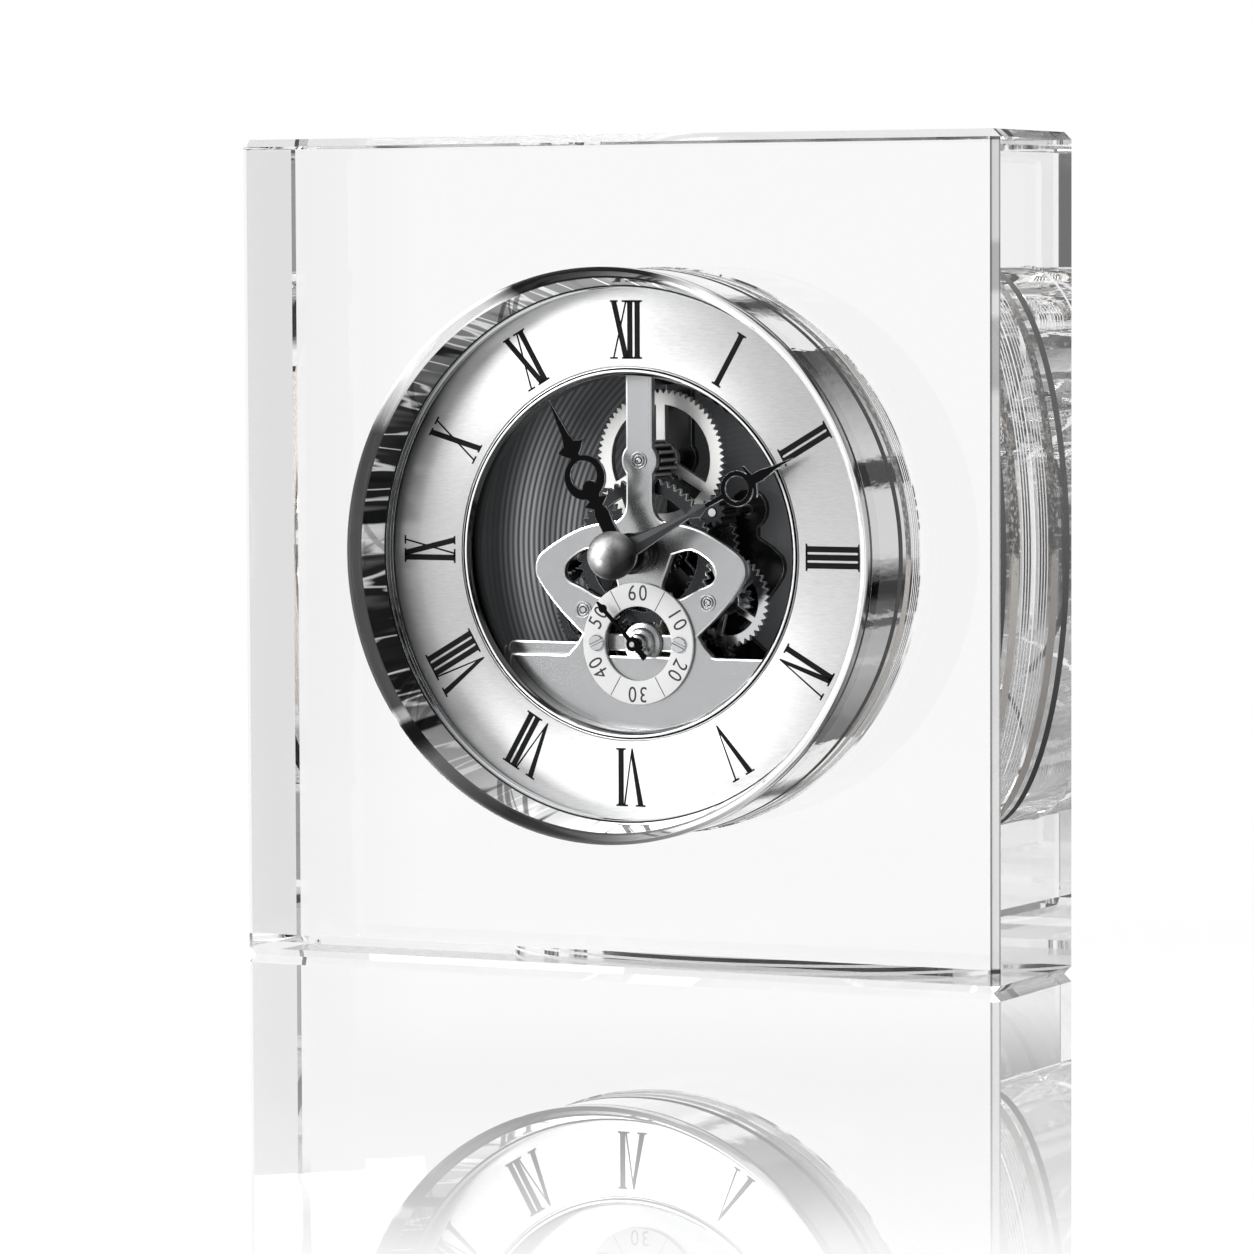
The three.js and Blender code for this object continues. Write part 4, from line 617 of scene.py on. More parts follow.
def roundHole(at, radius, steps=48):
    return arc(at, radius, 0, 360 - 360 / steps, steps - 1)


def flowing(points, steps=10):
    # smooth curve through the points
    ends = [points[0]] + list(points) + [points[-1]]
    path = []
    for a, b, c, d in zip(ends, ends[1:], ends[2:], ends[3:]):
        for i in range(steps):
            t = i / steps
            path.append(tuple(
                0.5 * (2 * b[k] + (c[k] - a[k]) * t + (2 * a[k] - 5 * b[k] + 4 * c[k] - d[k]) * t * t
                       + (3 * b[k] - a[k] - 3 * c[k] + d[k]) * t ** 3) for k in (0, 1)))
    return path + [tuple(points[-1])]


def bothSides(right):
    # closed outline from its right half, listed upwards
    return list(right) + [(-x, y) for x, y in reversed(right) if x > 1e-6]


def turnedBy(points, degreesClockwise, at=(0, 0)):
    a = -math.radians(degreesClockwise)
    return [(at[0] + x * math.cos(a) - y * math.sin(a), at[1] + x * math.sin(a) + y * math.cos(a))
            for x, y in points]


# crystal block
crystalBlock = {"chamfer": 1.1, "bore": 40.9, "boreChamfer": 0.25, "steps": 256}


def upperEdge(corners, face):
    return min(corners[i][1] for i in face) > blockSide / 2 - 2


def makeCrystalBlock(size):
    c, half = size["chamfer"], blockSide / 2
    inner = half - c
    face = [(inner, -inner), (inner, inner), (-inner, inner), (-inner, -inner)]
    band = [(inner, -half), (half, -inner), (half, inner), (inner, half),
            (-inner, half), (-half, inner), (-half, -inner), (-inner, -half)]
    corners, faces = [], []
    steps = size["steps"]
    circle = list(reversed(roundHole((0, 0), size["bore"], steps)))
    wide = list(reversed(roundHole((0, 0), size["bore"] + size["boreChamfer"], steps)))
    layers = [(face, 0), (band, -c), (band, c - blockDepth), (face, -blockDepth),
              (wide, 0), (circle, -size["boreChamfer"]), (circle, size["boreChamfer"] - blockDepth),
              (wide, -blockDepth)]
    starts = []
    for points, p in layers:
        starts.append(len(corners))
        corners += [(x, y, p) for x, y in points]
    frontFace, frontBand, backBand, backFace = starts[:4]
    for i in range(4):
        j = (i + 1) % 4
        # long chamfers round the front and back, then the small corner facets
        faces.append((frontFace + i, frontBand + 2 * i + 1, frontBand + (2 * i + 2) % 8, frontFace + j))
        faces.append((backFace + j, backBand + (2 * i + 2) % 8, backBand + 2 * i + 1, backFace + i))
        faces.append((frontFace + i, frontBand + 2 * i, frontBand + 2 * i + 1))
        faces.append((backFace + i, backBand + 2 * i + 1, backBand + 2 * i))
    for i in range(8):
        j = (i + 1) % 8
        faces.append((frontBand + i, backBand + i, backBand + j, frontBand + j))
    for a, b in zip(starts[4:], starts[5:]):
        for i in range(steps):
            j = (i + 1) % steps
            faces.append((a + i, b + i, b + j, a + j))
    for side, (rim, hole) in enumerate(((starts[0], starts[4]), (starts[3], starts[7]))):
        index = list(range(rim, rim + 4)) + list(range(hole, hole + steps))
        loops = [[Vector((x, y, 0)) for x, y in loop] for loop in (face, wide)]
        for triangle in tessellate_polygon(loops):
            a, b, c3 = (index[i] for i in triangle)
            (ax, ay, _), (bx, by, _), (cx, cy, _) = corners[a], corners[b], corners[c3]
            turnsLeft = (bx - ax) * (cy - ay) - (by - ay) * (cx - ax) > 0
            faces.append((a, b, c3) if turnsLeft == (side == 0) else (c3, b, a))
    # the long chamfer over the front face, and the one over the back, are the first of each kind that face up
    kinds = [1 if i < 16 and i % 4 in (0, 1) and upperEdge(corners, face) else 0 for i, face in enumerate(faces)]
    kinds[0] = 3                       # the right front chamfer
    wallStart = 24 + steps
    kinds[wallStart:wallStart + steps] = [2] * steps
    block = makePiece("clear_block", corners, faces, [crystal, groundCrystal, boreCrystal, sideCrystalPaintedReflections], kinds,
                      sharpAngle=20)
    block.visible_shadow = False       # polished crystal hardly shades what stands behind it
    return dress(block, "case", "crystal", "crystal_block")


makeCrystalBlock(crystalBlock)
print("crystal block made")


# rings of the case
ringProfiles = {
    "bezel": [(40.7, 0.1), (41.2, 0.1), (41.2, 0.75), (41.2, 0.85), (41.2, 2.45), (40.95, 2.8), (40.6, 2.8), (39.9, 1.1), (39.6, 0.9),
              (38.55, -4.1), (38.3, -4.2), (38.3, -4.6), (38.55, -4.75), (38.55, -4.95), (38.15, -5.1), (38.1, -5.5),
              (38.35, -5.65), (38.35, -5.85), (38.15, -5.95), (38.15, -6.2), (39.2, -6.2), (39.2, -15.3),
              (40.7, -15.3)],
    "trim": [(26.85, -6.4), (26.72, -6.35), (26.66, -6.9), (26.5, -6.9), (26.44, -6.3), (26.15, -6.3),
             (25.6, -6.95), (25.6, -9.9), (28.8, -9.9), (28.8, -7.45), (26.85, -7.45)],
    "bead": [(40.2, -15.6), (40.92, -15.6), (40.92, -17.79), (40.2, -17.79)],
    "case": [(37.4, -7.45), (39.0, -7.45), (39.0, -17.8), (40.6, -17.8), (40.6, -19.7), (39.0, -19.7),
             (39.0, -22.5), (40.6, -22.5), (40.6, -23.7), (38.4, -23.7), (38.4, -26.2), (37.4, -26.2)],
    "grip": [(39.2, -19.75), (40.92, -19.75), (40.92, -22.45), (39.2, -22.45)],
    "backRing": [(38.6, -23.9), (40.5, -23.9), (40.5, -28.2), (37.4, -28.2), (37.4, -27.45), (38.6, -27.45)],
}


def refinish(piece, finish, chosen):
    # gives the faces picked by their radius and p a finish of their own
    piece.data.materials.append(finish)
    for face in piece.data.polygons:
        x, y, z = face.center
        if chosen(math.hypot(x, z - axisZ * mm) / mm, faceY - y / mm):
            face.material_index = len(piece.data.materials) - 1


bezel = turnPiece("chrome_bezel", ringProfiles["bezel"], wallChrome, steps=288, ease=0.05)
refinish(bezel, lipChrome, lambda radius, p: p > 0.95)
refinish(bezel, blackPlate, lambda radius, p: 41.1 < radius and p < 0.8)
refinish(bezel, chrome, lambda radius, p: 41.15 < radius and 0.86 < p < 2.4)
refinish(bezel, chrome, lambda radius, p: -6.25 < p < -4.05 and radius < 38.42)
# painted shade: the bezel's recesses take black lacquer
refinish(bezel, blackPlate, lambda radius, p: -6.25 < p < -4.05 and 38.42 < radius < 38.7)
refinish(bezel, caseChromePainted, lambda radius, p: radius > 40.5 and p < 0.05)
dress(bezel, "case", "chromed_brass", "bezel_ring")
rim = turnPiece("window_rim", ringProfiles["trim"], bevelSteel, steps=256, ease=0.04)
refinish(rim, blackPlate, lambda radius, p: 26.45 < radius < 26.7 and p < -6.42)
refinish(rim, rimChrome, lambda radius, p: radius < 26.14)
dress(rim, "case", "polished_steel", "window_trim_ring")
dress(turnPiece("sealing_bead", ringProfiles["bead"], gripRubber, steps=256, ease=0), "case", "grip_rubber")
sealSetup = {"inner": 40.52, "outer": 40.92, "root": 40.72, "front": -23.75, "back": -27.3, "ridges": 4, "ridge": 0.42}


def sealProfile(s):
    # thin ridges that press on the glass, with grooves between them
    step = (s["front"] - s["back"] - s["ridge"]) / (s["ridges"] - 1)
    points = [(s["inner"], s["back"]), (s["inner"], s["front"])]
    for ridge in range(s["ridges"]):
        start = s["front"] - ridge * step
        points += [(s["outer"], start), (s["outer"], start - s["ridge"])]
        if ridge < s["ridges"] - 1:
            points += [(s["root"], start - s["ridge"] - 0.02), (s["root"], start - step + 0.02)]
    return points


seal = turnPiece("pale_seal", sealProfile(sealSetup), paleSealant, steps=256, ease=0)
refinish(seal, gripRubber, lambda radius, p: sealSetup["root"] - 0.01 < radius < 40.85
         and sealSetup["back"] + 0.1 < p < sealSetup["front"] - 0.1)
dress(seal, "case", "grip_rubber")
dress(turnPiece("case_barrel", ringProfiles["case"], caseChromePainted, steps=256),
      "case", "turned_case", "rear_case")
dress(turnPiece("rubber_band", ringProfiles["grip"], sealant, steps=256, ease=0),
      "case", "grip_rubber", "grip_band")
dress(turnPiece("screwed_back_ring", ringProfiles["backRing"], turnedCase, steps=256),
      "case", "turned_case", "back_ring")
print("rings made")


# hour ring and its numerals
hourRing = {"outer": 38.9, "inner": 27.0, "front": -6.35, "back": -7.35}
numerals = {"foot": 28.0, "top": 36.4, "ink": 0.03, "stem": 0.42, "hair": 0.13, "serif": 0.26,
            "reach": 0.78, "gap": 1.62, "lean": 0.95}
dialProfile = [(hourRing["inner"], hourRing["front"]), (hourRing["outer"], hourRing["front"]),
               (hourRing["outer"], hourRing["back"]), (hourRing["inner"], hourRing["back"])]
dress(turnPiece("brushed_dial", dialProfile, dialSilver, steps=256, ease=0.04),
      "case", "silvered_dial", "dial_ring")


def meeting(a, b, c, d):
    # where the line a-b meets the line c-d
    r, s = (b[0] - a[0], b[1] - a[1]), (d[0] - c[0], d[1] - c[1])
    t = ((c[0] - a[0]) * s[1] - (c[1] - a[1]) * s[0]) / (r[0] * s[1] - r[1] * s[0])
    return (a[0] + r[0] * t, a[1] + r[1] * t)


def strokeI(n, height):
    s, q, t = n["stem"], n["reach"], n["serif"]
    return [(-q, 0), (q, 0), (q, t), (s + 0.1, t), (s, t + 0.15), (s, height - t - 0.15), (s + 0.1, height - t),
            (q, height - t), (q, height), (-q, height), (-q, height - t), (-s - 0.1, height - t),
            (-s, height - t - 0.15), (-s, t + 0.15), (-s - 0.1, t), (-q, t)]


def strokeV(n, height):
    s, thin, q, t, a = n["stem"], n["hair"], n["reach"], n["serif"], n["lean"] * 1.35
    low = (0.05, 0.0)
    inner = meeting((-a + s, height - t), (low[0] + s * 0.9, 0), (a - thin, height - t), (low[0] - thin * 0.5, 0))
    return [(low[0] - 0.1, 0), (low[0] + 0.12, 0), (a + thin, height - t), (a + q * 0.7, height - t),
            (a + q * 0.7, height), (a - q * 0.7, height), (a - q * 0.7, height - t), (a - thin, height - t), inner,
            (-a + s, height - t), (-a + q, height - t), (-a + q, height), (-a - q, height), (-a - q, height - t),
            (-a - s, height - t)]


def strokeX(n, height):
    s, thin, q, t, a = n["stem"], n["hair"], n["reach"] * 0.8, n["serif"], n["lean"]
    top, foot = height - t, t
    thickRight = ((-a + s, top), (a + s, foot))
    thickLeft = ((-a - s, top), (a - s, foot))
    thinLeft = ((a - thin, top), (-a - thin, foot))
    thinRight = ((a + thin, top), (-a + thin, foot))
    return [(-a - q, height), (-a - q, top), thickLeft[0], meeting(*thickLeft, *thinLeft), thinLeft[1],
            (-a - q, foot), (-a - q, 0), (-a + q, 0), (-a + q, foot), thinRight[1],
            meeting(*thickLeft, *thinRight), thickLeft[1], (a - q, foot), (a - q, 0), (a + q, 0), (a + q, foot),
            thickRight[1], meeting(*thickRight, *thinRight), thinRight[0], (a + q, top), (a + q, height),
            (a - q, height), (a - q, top), thinLeft[0], meeting(*thickRight, *thinLeft), thickRight[0],
            (-a + q, top), (-a + q, height)]


letterShapes = {"I": strokeI, "V": strokeV, "X": strokeX}
letterWidths = {"I": 1.0, "V": 2.15, "X": 1.75}    # in gaps between stems
hourNames = ["XII", "I", "II", "III", "IV", "V", "VI", "VII", "VIII", "IX", "X", "XI"]


def makeNumerals(n):
    height = n["top"] - n["foot"]
    for hour, word in enumerate(hourNames):
        widths = [letterWidths[c] * n["gap"] * 0.72 for c in word]
        left = -sum(widths) / 2
        for i, letter in enumerate(word):
            middle = left + widths[i] / 2
            left += widths[i]
            outline = [(x + middle, y + n["foot"]) for x, y in letterShapes[letter](n, height)]
            outline = turnedBy(outline, 30 * hour)
            name = "numeral_%02d_%d" % (hour or 12, i + 1)
            piece = cutPiece(name, outline, [], hourRing["front"] + n["ink"], hourRing["front"] - 0.05,
                             [dialInk], edge=0)
            dress(piece, "case", "silvered_dial")


makeNumerals(numerals)
print("hour ring made")


# movement plates
plates = {
    "front": -10.0, "thick": 1.2, "backFront": -23.4, "barHalf": 2.04, "barTop": 28.0, "bulge": 2.75,
    "bulgeY": 13.3, "segmentRadius": 33.0, "segmentTop": -15.0, "legX": 11.5, "bevel": 0.25, "bevelDrop": 0.07,
}
lozengePath = flowing([(3.4, 4.7), (9.6, 3.35), (15.5, 0.0), (16.8, -2.4), (15.9, -4.8), (12.8, -8.55),
                       (9.2, -11.9)], 10)
bearingSpots = {"great": (0, 13.3), "third": (10.9, -7.0), "motor": (-9.0, -8.4)}
secondsSpot = (0, -13.1)


def makeFrontPlate(p):
    bulgeAngle = math.degrees(math.acos(p["barHalf"] / p["bulge"]))
    edgeX = math.sqrt(p["segmentRadius"] ** 2 - p["segmentTop"] ** 2)
    startAngle = math.degrees(math.atan2(p["segmentTop"], edgeX))
    # right half, listed upwards from the bottom of the segment
    right = arc((0, 0), p["segmentRadius"], -90, startAngle, 40)
    right += [(p["legX"] + 0.6, p["segmentTop"]), (p["legX"], p["segmentTop"] + 0.15)]
    right += [(10.1, -13.4)]
    right += list(reversed(lozengePath))
    right += flowing([(5.0, 4.1), (3.3, 4.7), (2.3, 5.9), (p["barHalf"], 7.3)], 6)[3:]
    right += arc((0, p["bulgeY"]), p["bulge"], -bulgeAngle, bulgeAngle, 24)
    right += [(p["barHalf"], p["barTop"]), (0, p["barTop"])]
    right = [(0, -p["segmentRadius"])] + right[1:]
    kidney = flowing([(5.2, -0.2), (8.4, 0.45), (11.3, -1.2), (12.1, -2.9), (11.5, -4.2), (9.3, -5.2),
                      (6.4, -6.6), (4.2, -6.3), (3.5, -4.9), (4.3, -2.6), (5.2, -0.2)], 6)[:-1]
    window = arc(secondsSpot, 5.6, -19.8, 199.8, 60)
    holes = [kidney, [(-x, y) for x, y in kidney], window, roundHole((0, 0), 2.1, 48)]
    holes += [roundHole(at, 0.65, 24) for at in bearingSpots.values()]
    plate = cutPiece("front_frame", bothSides(right), holes, p["front"], p["front"] - p["thick"],
                     [satinSteel, bevelSteel], p["bevel"], 5, p["bevelDrop"])
    return dress(plate, "case", "polished_steel", "front_plate")


makeFrontPlate(plates)
print("plates made")


coverSetup = {"radius": 38.4, "front": -26.3, "back": -27.35, "hatch": (16.2, -33.7, -20.9), "bossRadius": 1.8,
              "bossFront": -25.0, "settingSpot": (11.0516, 5.9258), "shaft": 0.7}


def makeCover(c):
    halfWidth, foot, top = c["hatch"]
    hatch = [(-halfWidth, foot), (halfWidth, foot), (halfWidth, top), (-halfWidth, top)]
    cover = cutPiece("spun_back_cover", roundHole((0, 0), c["radius"], 192),
                     [hatch, roundHole(c["settingSpot"], c["shaft"], 32)], c["front"], c["back"], [spunCover], 0.1)
    dress(cover, "case", "dark_cover", "back_cover")
    boss = turnPiece("cover_boss", [(0.5, c["bossFront"]), (c["bossRadius"], c["bossFront"]),
                                    (c["bossRadius"], c["front"]), (0.5, c["front"])],
                     spunCover, bearingSpots["great"], 48, 0.1)
    dress(boss, "case", "dark_cover")


makeCover(coverSetup)


def plainFinish(finish, *nodes):
    # CAD pieces whose own shape is right
    for node in nodes:
        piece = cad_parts[node]
        piece.data.materials.clear()
        piece.data.materials.append(finish)


plainFinish(blackLacquerPaintedEdges(), "back_plate")
plainFinish(blackPlate, "plate_pillar_1", "plate_pillar_2", "plate_pillar_3", "plate_pillar_4")
plainFinish(spunCover, "battery_door")
plainFinish(mouldedBlack, "battery_cradle", "setting_knob")
plainFinish(cellJacket, "battery_cell")
plainFinish(copperWire, "drive_coil")
plainFinish(boardResist, "circuit_board")
plainFinish(turnedCase, "quartz_crystal")
plainFinish(sinteredMagnet, "rotor")
plainFinish(polishedSteel, "stator", "battery_contact_left", "battery_contact_right", "relay_stud",
            "minute_arbor", "seconds_arbor", "motor_arbor", "setting_arbor")

# riveted bearings: a flat rim, a groove, a domed middle round the pivot
for number, spot in enumerate(bearingSpots.values(), 1):
    rim = [(0.5, -9.95), (0.62, -9.86), (0.78, -9.86), (0.86, -9.94), (0.98, -9.94), (1.05, -9.82), (1.25, -9.82),
           (1.25, -10.0), (0.5, -10.0)]
    bearing = turnPiece("riveted_bearing_%d" % number, rim, satinSteel, spot, 64, 0.03)
    # painted shade: the groove takes the darker leaf steel
    refinish(bearing, leafSteel, lambda radius, p: -9.945 < p < -9.935 or p < -9.95)
    dress(bearing, "case", "polished_steel", "front_bearing_%d" % number)
bushProfile = [(1.9, -6.4), (2.5, -6.4), (3.0, -6.9), (3.0, -7.8), (2.75, -8.0), (3.0, -8.2), (3.0, -9.9),
               (1.9, -9.9)]
dress(turnPiece("dark_centre_bush", bushProfile, blackPlate, steps=96, ease=0.06), "case", "black_plate",
      "centre_bush")


# seconds dial: printed ring, divisions, numbers, two screws
secondsDial = {"outer": 8.8, "inner": 5.4, "front": -9.4, "back": -9.9, "numberRadius": 6.25, "height": 2.35,
               "lineHalf": 0.055, "lines": (30, 150, 210, 330), "screwX": 6.6, "screwRadius": 1.15,
               "screwHeight": 0.33, "slot": 0.3}


def makeSecondsDial(d):
    ring = [(d["inner"], d["front"]), (d["outer"], d["front"]), (d["outer"], d["back"]), (d["inner"], d["back"])]
    dress(turnPiece("printed_seconds_ring", ring, secondsWhite, secondsSpot, 160, 0.05), "case", "silvered_dial",
          "subdial_ring")
    for number, angle in enumerate(d["lines"], 1):
        h = d["lineHalf"]
        line = [(-h, d["inner"] + 0.1), (h, d["inner"] + 0.1), (h, d["outer"] - 0.1), (-h, d["outer"] - 0.1)]
        piece = cutPiece("seconds_line_%d" % number, turnedBy(line, angle, secondsSpot), [], d["front"] + 0.02,
                         d["front"] - 0.02, [secondsInk], 0)
        dress(piece, "case", "silvered_dial")
    for angle, word in ((0, "60"), (60, "10"), (120, "20"), (180, "30"), (240, "40"), (300, "50")):
        printNumber(word, angle, d)
    for side in (-1, 1):
        spot = (secondsSpot[0] + side * d["screwX"], secondsSpot[1])
        makeScrew("seconds_screw_" + ("left" if side < 0 else "right"), spot, 25 * side, d)


def printNumber(word, angle, d):
    text = bpy.data.curves.new("seconds_number_" + word, "FONT")
    text.body = word
    text.size = d["height"] * mm * 1.38
    text.space_character = 1.25
    text.align_x = "CENTER"
    text.extrude = 0.012 * mm
    text.offset = -0.004 * mm
    holder = bpy.data.objects.new(text.name, text)
    mesh = bpy.data.meshes.new_from_object(holder)
    turn = math.radians(angle)
    for vertex in mesh.vertices:
        x, y = vertex.co.x / mm * 0.86, vertex.co.y / mm + d["numberRadius"]
        u = secondsSpot[0] + x * math.cos(turn) + y * math.sin(turn)
        v = secondsSpot[1] - x * math.sin(turn) + y * math.cos(turn)
        vertex.co = spotOf(u, v, d["front"] + 0.012 + vertex.co.z / mm)
    mesh.materials.clear()
    mesh.materials.append(secondsInk)
    bpy.data.objects.remove(holder)
    bpy.data.curves.remove(text)
    piece = bpy.data.objects.new("seconds_number_" + word, mesh)
    bpy.context.scene.collection.objects.link(piece)
    dress(piece, "case", "silvered_dial")


def makeScrew(name, spot, angle, d):
    # round head cut in two by its slot, over a thin washer face
    front, back = d["front"] + 0.02 + d["screwHeight"], d["front"] + 0.02
    half = math.degrees(math.asin(d["slot"] / 2 / d["screwRadius"]))
    piece = turnPiece(name, [(0, back + 0.14), (d["screwRadius"] - 0.02, back + 0.14), (d["screwRadius"], back),
                             (0, back)], polishedSteel, spot, 64, 0)
    dress(piece, "case", "polished_steel", "subdial_" + name.replace("seconds_", ""))
    for number, start in enumerate((0, 180), 1):
        halfRound = arc((0, 0), d["screwRadius"], start + half, start + 180 - half, 32)
        outline = turnedBy(halfRound, angle, spot)
        cheek = cutPiece(name + "_cheek_%d" % number, outline, [], front, back + 0.1, [polishedSteel], 0.1)
        dress(cheek, "case", "polished_steel")


makeSecondsDial(secondsDial)
print("seconds dial made")


# wheels: teeth and places follow the motion and seconds trains
train = {"cannon": 22, "great": 66, "ribbed": 14, "hour": 56, "setting": 10, "rotor": 6, "motor": 60,
         "motorPinion": 10, "seconds": 30, "secondsPinion": 10, "relay": 36, "relayPinion": 12, "sleeve": 36,
         "sleevePinion": 36, "third": 40, "thirdPinion": 12, "centre": 60}
centreSpot, greatSpot, thirdSpot, motorSpot = (0, 0), (0, 13.3), (10.9, -7.0), (-9.0, -8.4)
relaySpot, settingSpot = (5.6, -16.0), coverSetup["settingSpot"]
rotorReach = 0.2233 * (train["motor"] + train["rotor"]) / 2
rotorSpot = (motorSpot[0] + rotorReach * math.cos(math.radians(250)),
             motorSpot[1] + rotorReach * math.sin(math.radians(250)))


def moduleOf(a, b, teethA, teethB):
    return 2 * math.dist(a, b) / (teethA + teethB)


def meshPhase(a, teethA, phaseA, b, teethB):
    # the phase that puts a gap of wheel b on a tooth of wheel a
    bearing = math.atan2(b[1] - a[1], b[0] - a[0])
    turnsA = (bearing - phaseA) * teethA / fullTurn
    return bearing + math.pi - (0.5 - turnsA) * fullTurn / teethB


def gearOutline(at, teeth, module, phase):
    pitch, step = teeth * module / 2, fullTurn / teeth
    tip, root = pitch + 0.7 * module, pitch - 1.1 * module
    halfTip = 0.2 * module / tip
    points = []
    for tooth in range(teeth):
        a = phase + tooth * step
        for offset, radius in ((-0.42 * step, root), (-halfTip - 0.16 * step, pitch + 0.05 * module),
                               (-halfTip, tip - 0.05 * module), (0, tip), (halfTip, tip - 0.05 * module),
                               (halfTip + 0.16 * step, pitch + 0.05 * module), (0.42 * step, root)):
            points.append((at[0] + radius * math.cos(a + offset), at[1] + radius * math.sin(a + offset)))
    return points


def crossings(at, inner, outer, spokes, width, first):
    # openings between the spokes; first = degrees of one spoke
    loops = []
    for i in range(spokes):
        a0, a1 = first + 360 * i / spokes, first + 360 * (i + 1) / spokes
        wide = math.degrees(math.asin(width / 2 / outer))
        narrow = math.degrees(math.asin(width / 2 / inner))
        loops.append(arc(at, outer, a0 + wide, a1 - wide, 32) + arc(at, inner, a1 - narrow, a0 + narrow, 12))
    return loops


cannonModule = moduleOf(centreSpot, greatSpot, train["cannon"], train["great"])
ribbedModule = moduleOf(centreSpot, greatSpot, train["ribbed"], train["hour"])
thirdModule = moduleOf(secondsSpot, thirdSpot, train["sleevePinion"], train["third"])
centreModule = moduleOf(thirdSpot, centreSpot, train["thirdPinion"], train["centre"])
relayModule = moduleOf(secondsSpot, relaySpot, train["secondsPinion"], train["relay"])
sleeveModule = moduleOf(relaySpot, secondsSpot, train["relayPinion"], train["sleeve"])
secondsModule = moduleOf(motorSpot, secondsSpot, train["motorPinion"], train["seconds"])
greatPhase = meshPhase(centreSpot, train["cannon"], 0, greatSpot, train["great"])
hourPhase = meshPhase(greatSpot, train["ribbed"], 0, centreSpot, train["hour"])
settingPhase = meshPhase(centreSpot, train["hour"], hourPhase, settingSpot, train["setting"])
motorPhase = meshPhase(rotorSpot, train["rotor"], 0, motorSpot, train["motor"])
secondsPhase = meshPhase(motorSpot, train["motorPinion"], 0, secondsSpot, train["seconds"])
relayPhase = meshPhase(secondsSpot, train["secondsPinion"], 0, relaySpot, train["relay"])
sleevePhase = meshPhase(relaySpot, train["relayPinion"], 0, secondsSpot, train["sleeve"])
thirdPhase = meshPhase(secondsSpot, train["sleevePinion"], 0, thirdSpot, train["third"])
centrePhase = meshPhase(thirdSpot, train["thirdPinion"], 0, centreSpot, train["centre"])


def makeWheel(name, body, slotName, nodes, at, teeth, module, phase, front, thick, bore, finishes, spokes=None,
              bevel=0.05):
    holes = [roundHole(at, bore, 40)]
    if spokes:
        holes += crossings(at, *spokes)
    piece = cutPiece(name, gearOutline(at, teeth, module, phase), holes, front, front - thick, finishes, bevel)
    return dress(piece, body, slotName, *nodes)


steel = [polishedSteel]
makeWheel("great_silver_wheel", "great_work", "silvered_wheel", ["great_wheel"], greatSpot, train["great"],
          cannonModule, greatPhase, -17.2, 1.2, 0.65, [silverWheel, bevelSteel], (2.6, 7.9, 3, 1.5, 90), 0.07)
makeWheel("ribbed_black_pinion", "great_work", "black_steel", ["ribbed_pinion"], greatSpot, train["ribbed"],
          ribbedModule, 0, -11.6, 5.5, 0.65, [leafSteel, ribSteel], None, 0.08)
makeWheel("cannon_steel_pinion", "minute_work", "polished_steel", ["cannon_pinion"], centreSpot, train["cannon"],
          cannonModule, 0, -17.2, 1.2, 0.85, steel)
makeWheel("hour_black_wheel", "hour_work", "black_steel", ["hour_wheel"], centreSpot, train["hour"], ribbedModule,
          hourPhase, -11.6, 0.8, 1.0, [blackWheels, bevelSteel], (3.4, 8.6, 4, 1.4, 20), 0.09)
makeWheel("setting_black_pinion", "setting_work", "black_steel", ["setting_pinion"], settingSpot,
          train["setting"], ribbedModule, settingPhase, -11.4, 5.2, 0.65, [blackWheels], None, 0.08)
makeWheel("third_steel_wheel", "third_work", "polished_steel", ["third_wheel"], thirdSpot, train["third"],
          thirdModule, thirdPhase, -16.2, 0.8, 0.65, [polishedSteel, bevelSteel], (2.0, 5.1, 5, 0.9, 40), 0.06)
makeWheel("centre_black_wheel", "centre_work", "black_steel", ["centre_wheel"], centreSpot, train["centre"],
          centreModule, centrePhase, -20.2, 0.8, 0.9, [blackWheels, bevelSteel], (2.9, 8.4, 4, 1.4, 45), 0.05)
makeWheel("motor_black_wheel", "motor_work", "black_steel", ["motor_wheel"], motorSpot, train["motor"], 0.2233,
          motorPhase, -14.6, 0.8, 0.65, [blackWheels, bevelSteel], (1.8, 5.3, 5, 0.8, 30), 0.05)
makeWheel("seconds_black_wheel", "seconds_work", "black_steel", ["seconds_wheel"], secondsSpot, train["seconds"],
          secondsModule, secondsPhase, -13.2, 0.8, 0.65, [blackWheels, bevelSteel], (1.7, 5.6, 4, 0.9, 10), 0.05)
makeWheel("relay_steel_wheel", "relay_work", "polished_steel", ["relay_wheels"], relaySpot, train["relay"],
          relayModule, relayPhase, -19.4, 0.8, 0.6, [polishedSteel, bevelSteel], (1.8, 3.6, 4, 0.8, 0), 0.05)
makeWheel("relay_steel_pinion", "relay_work", "polished_steel", [], relaySpot, train["relayPinion"], sleeveModule,
          0, -17.8, 1.6, 0.6, steel)
makeWheel("sleeve_front_wheel", "sleeve_work", "yellow_brass", ["sleeve_wheels"], secondsSpot,
          train["sleevePinion"], thirdModule, 0, -16.2, 0.8, 0.7, [bareBrass])
makeWheel("sleeve_rear_wheel", "sleeve_work", "yellow_brass", [], secondsSpot, train["sleeve"], sleeveModule,
          sleevePhase, -17.8, 0.8, 0.7, [bareBrass])
dress(turnPiece("sleeve_hub", [(0.7, -17.0), (1.3, -17.0), (1.3, -17.8), (0.7, -17.8)], bareBrass, secondsSpot, 48),
      "sleeve_work", "yellow_brass")
# pipe of the hour hand, with the wheel on it
dress(turnPiece("hour_pipe", [(1.0, -4.5), (1.7, -4.5), (1.7, -11.6), (1.0, -11.6)], polishedSteel, steps=64),
      "hour_work", "black_steel")
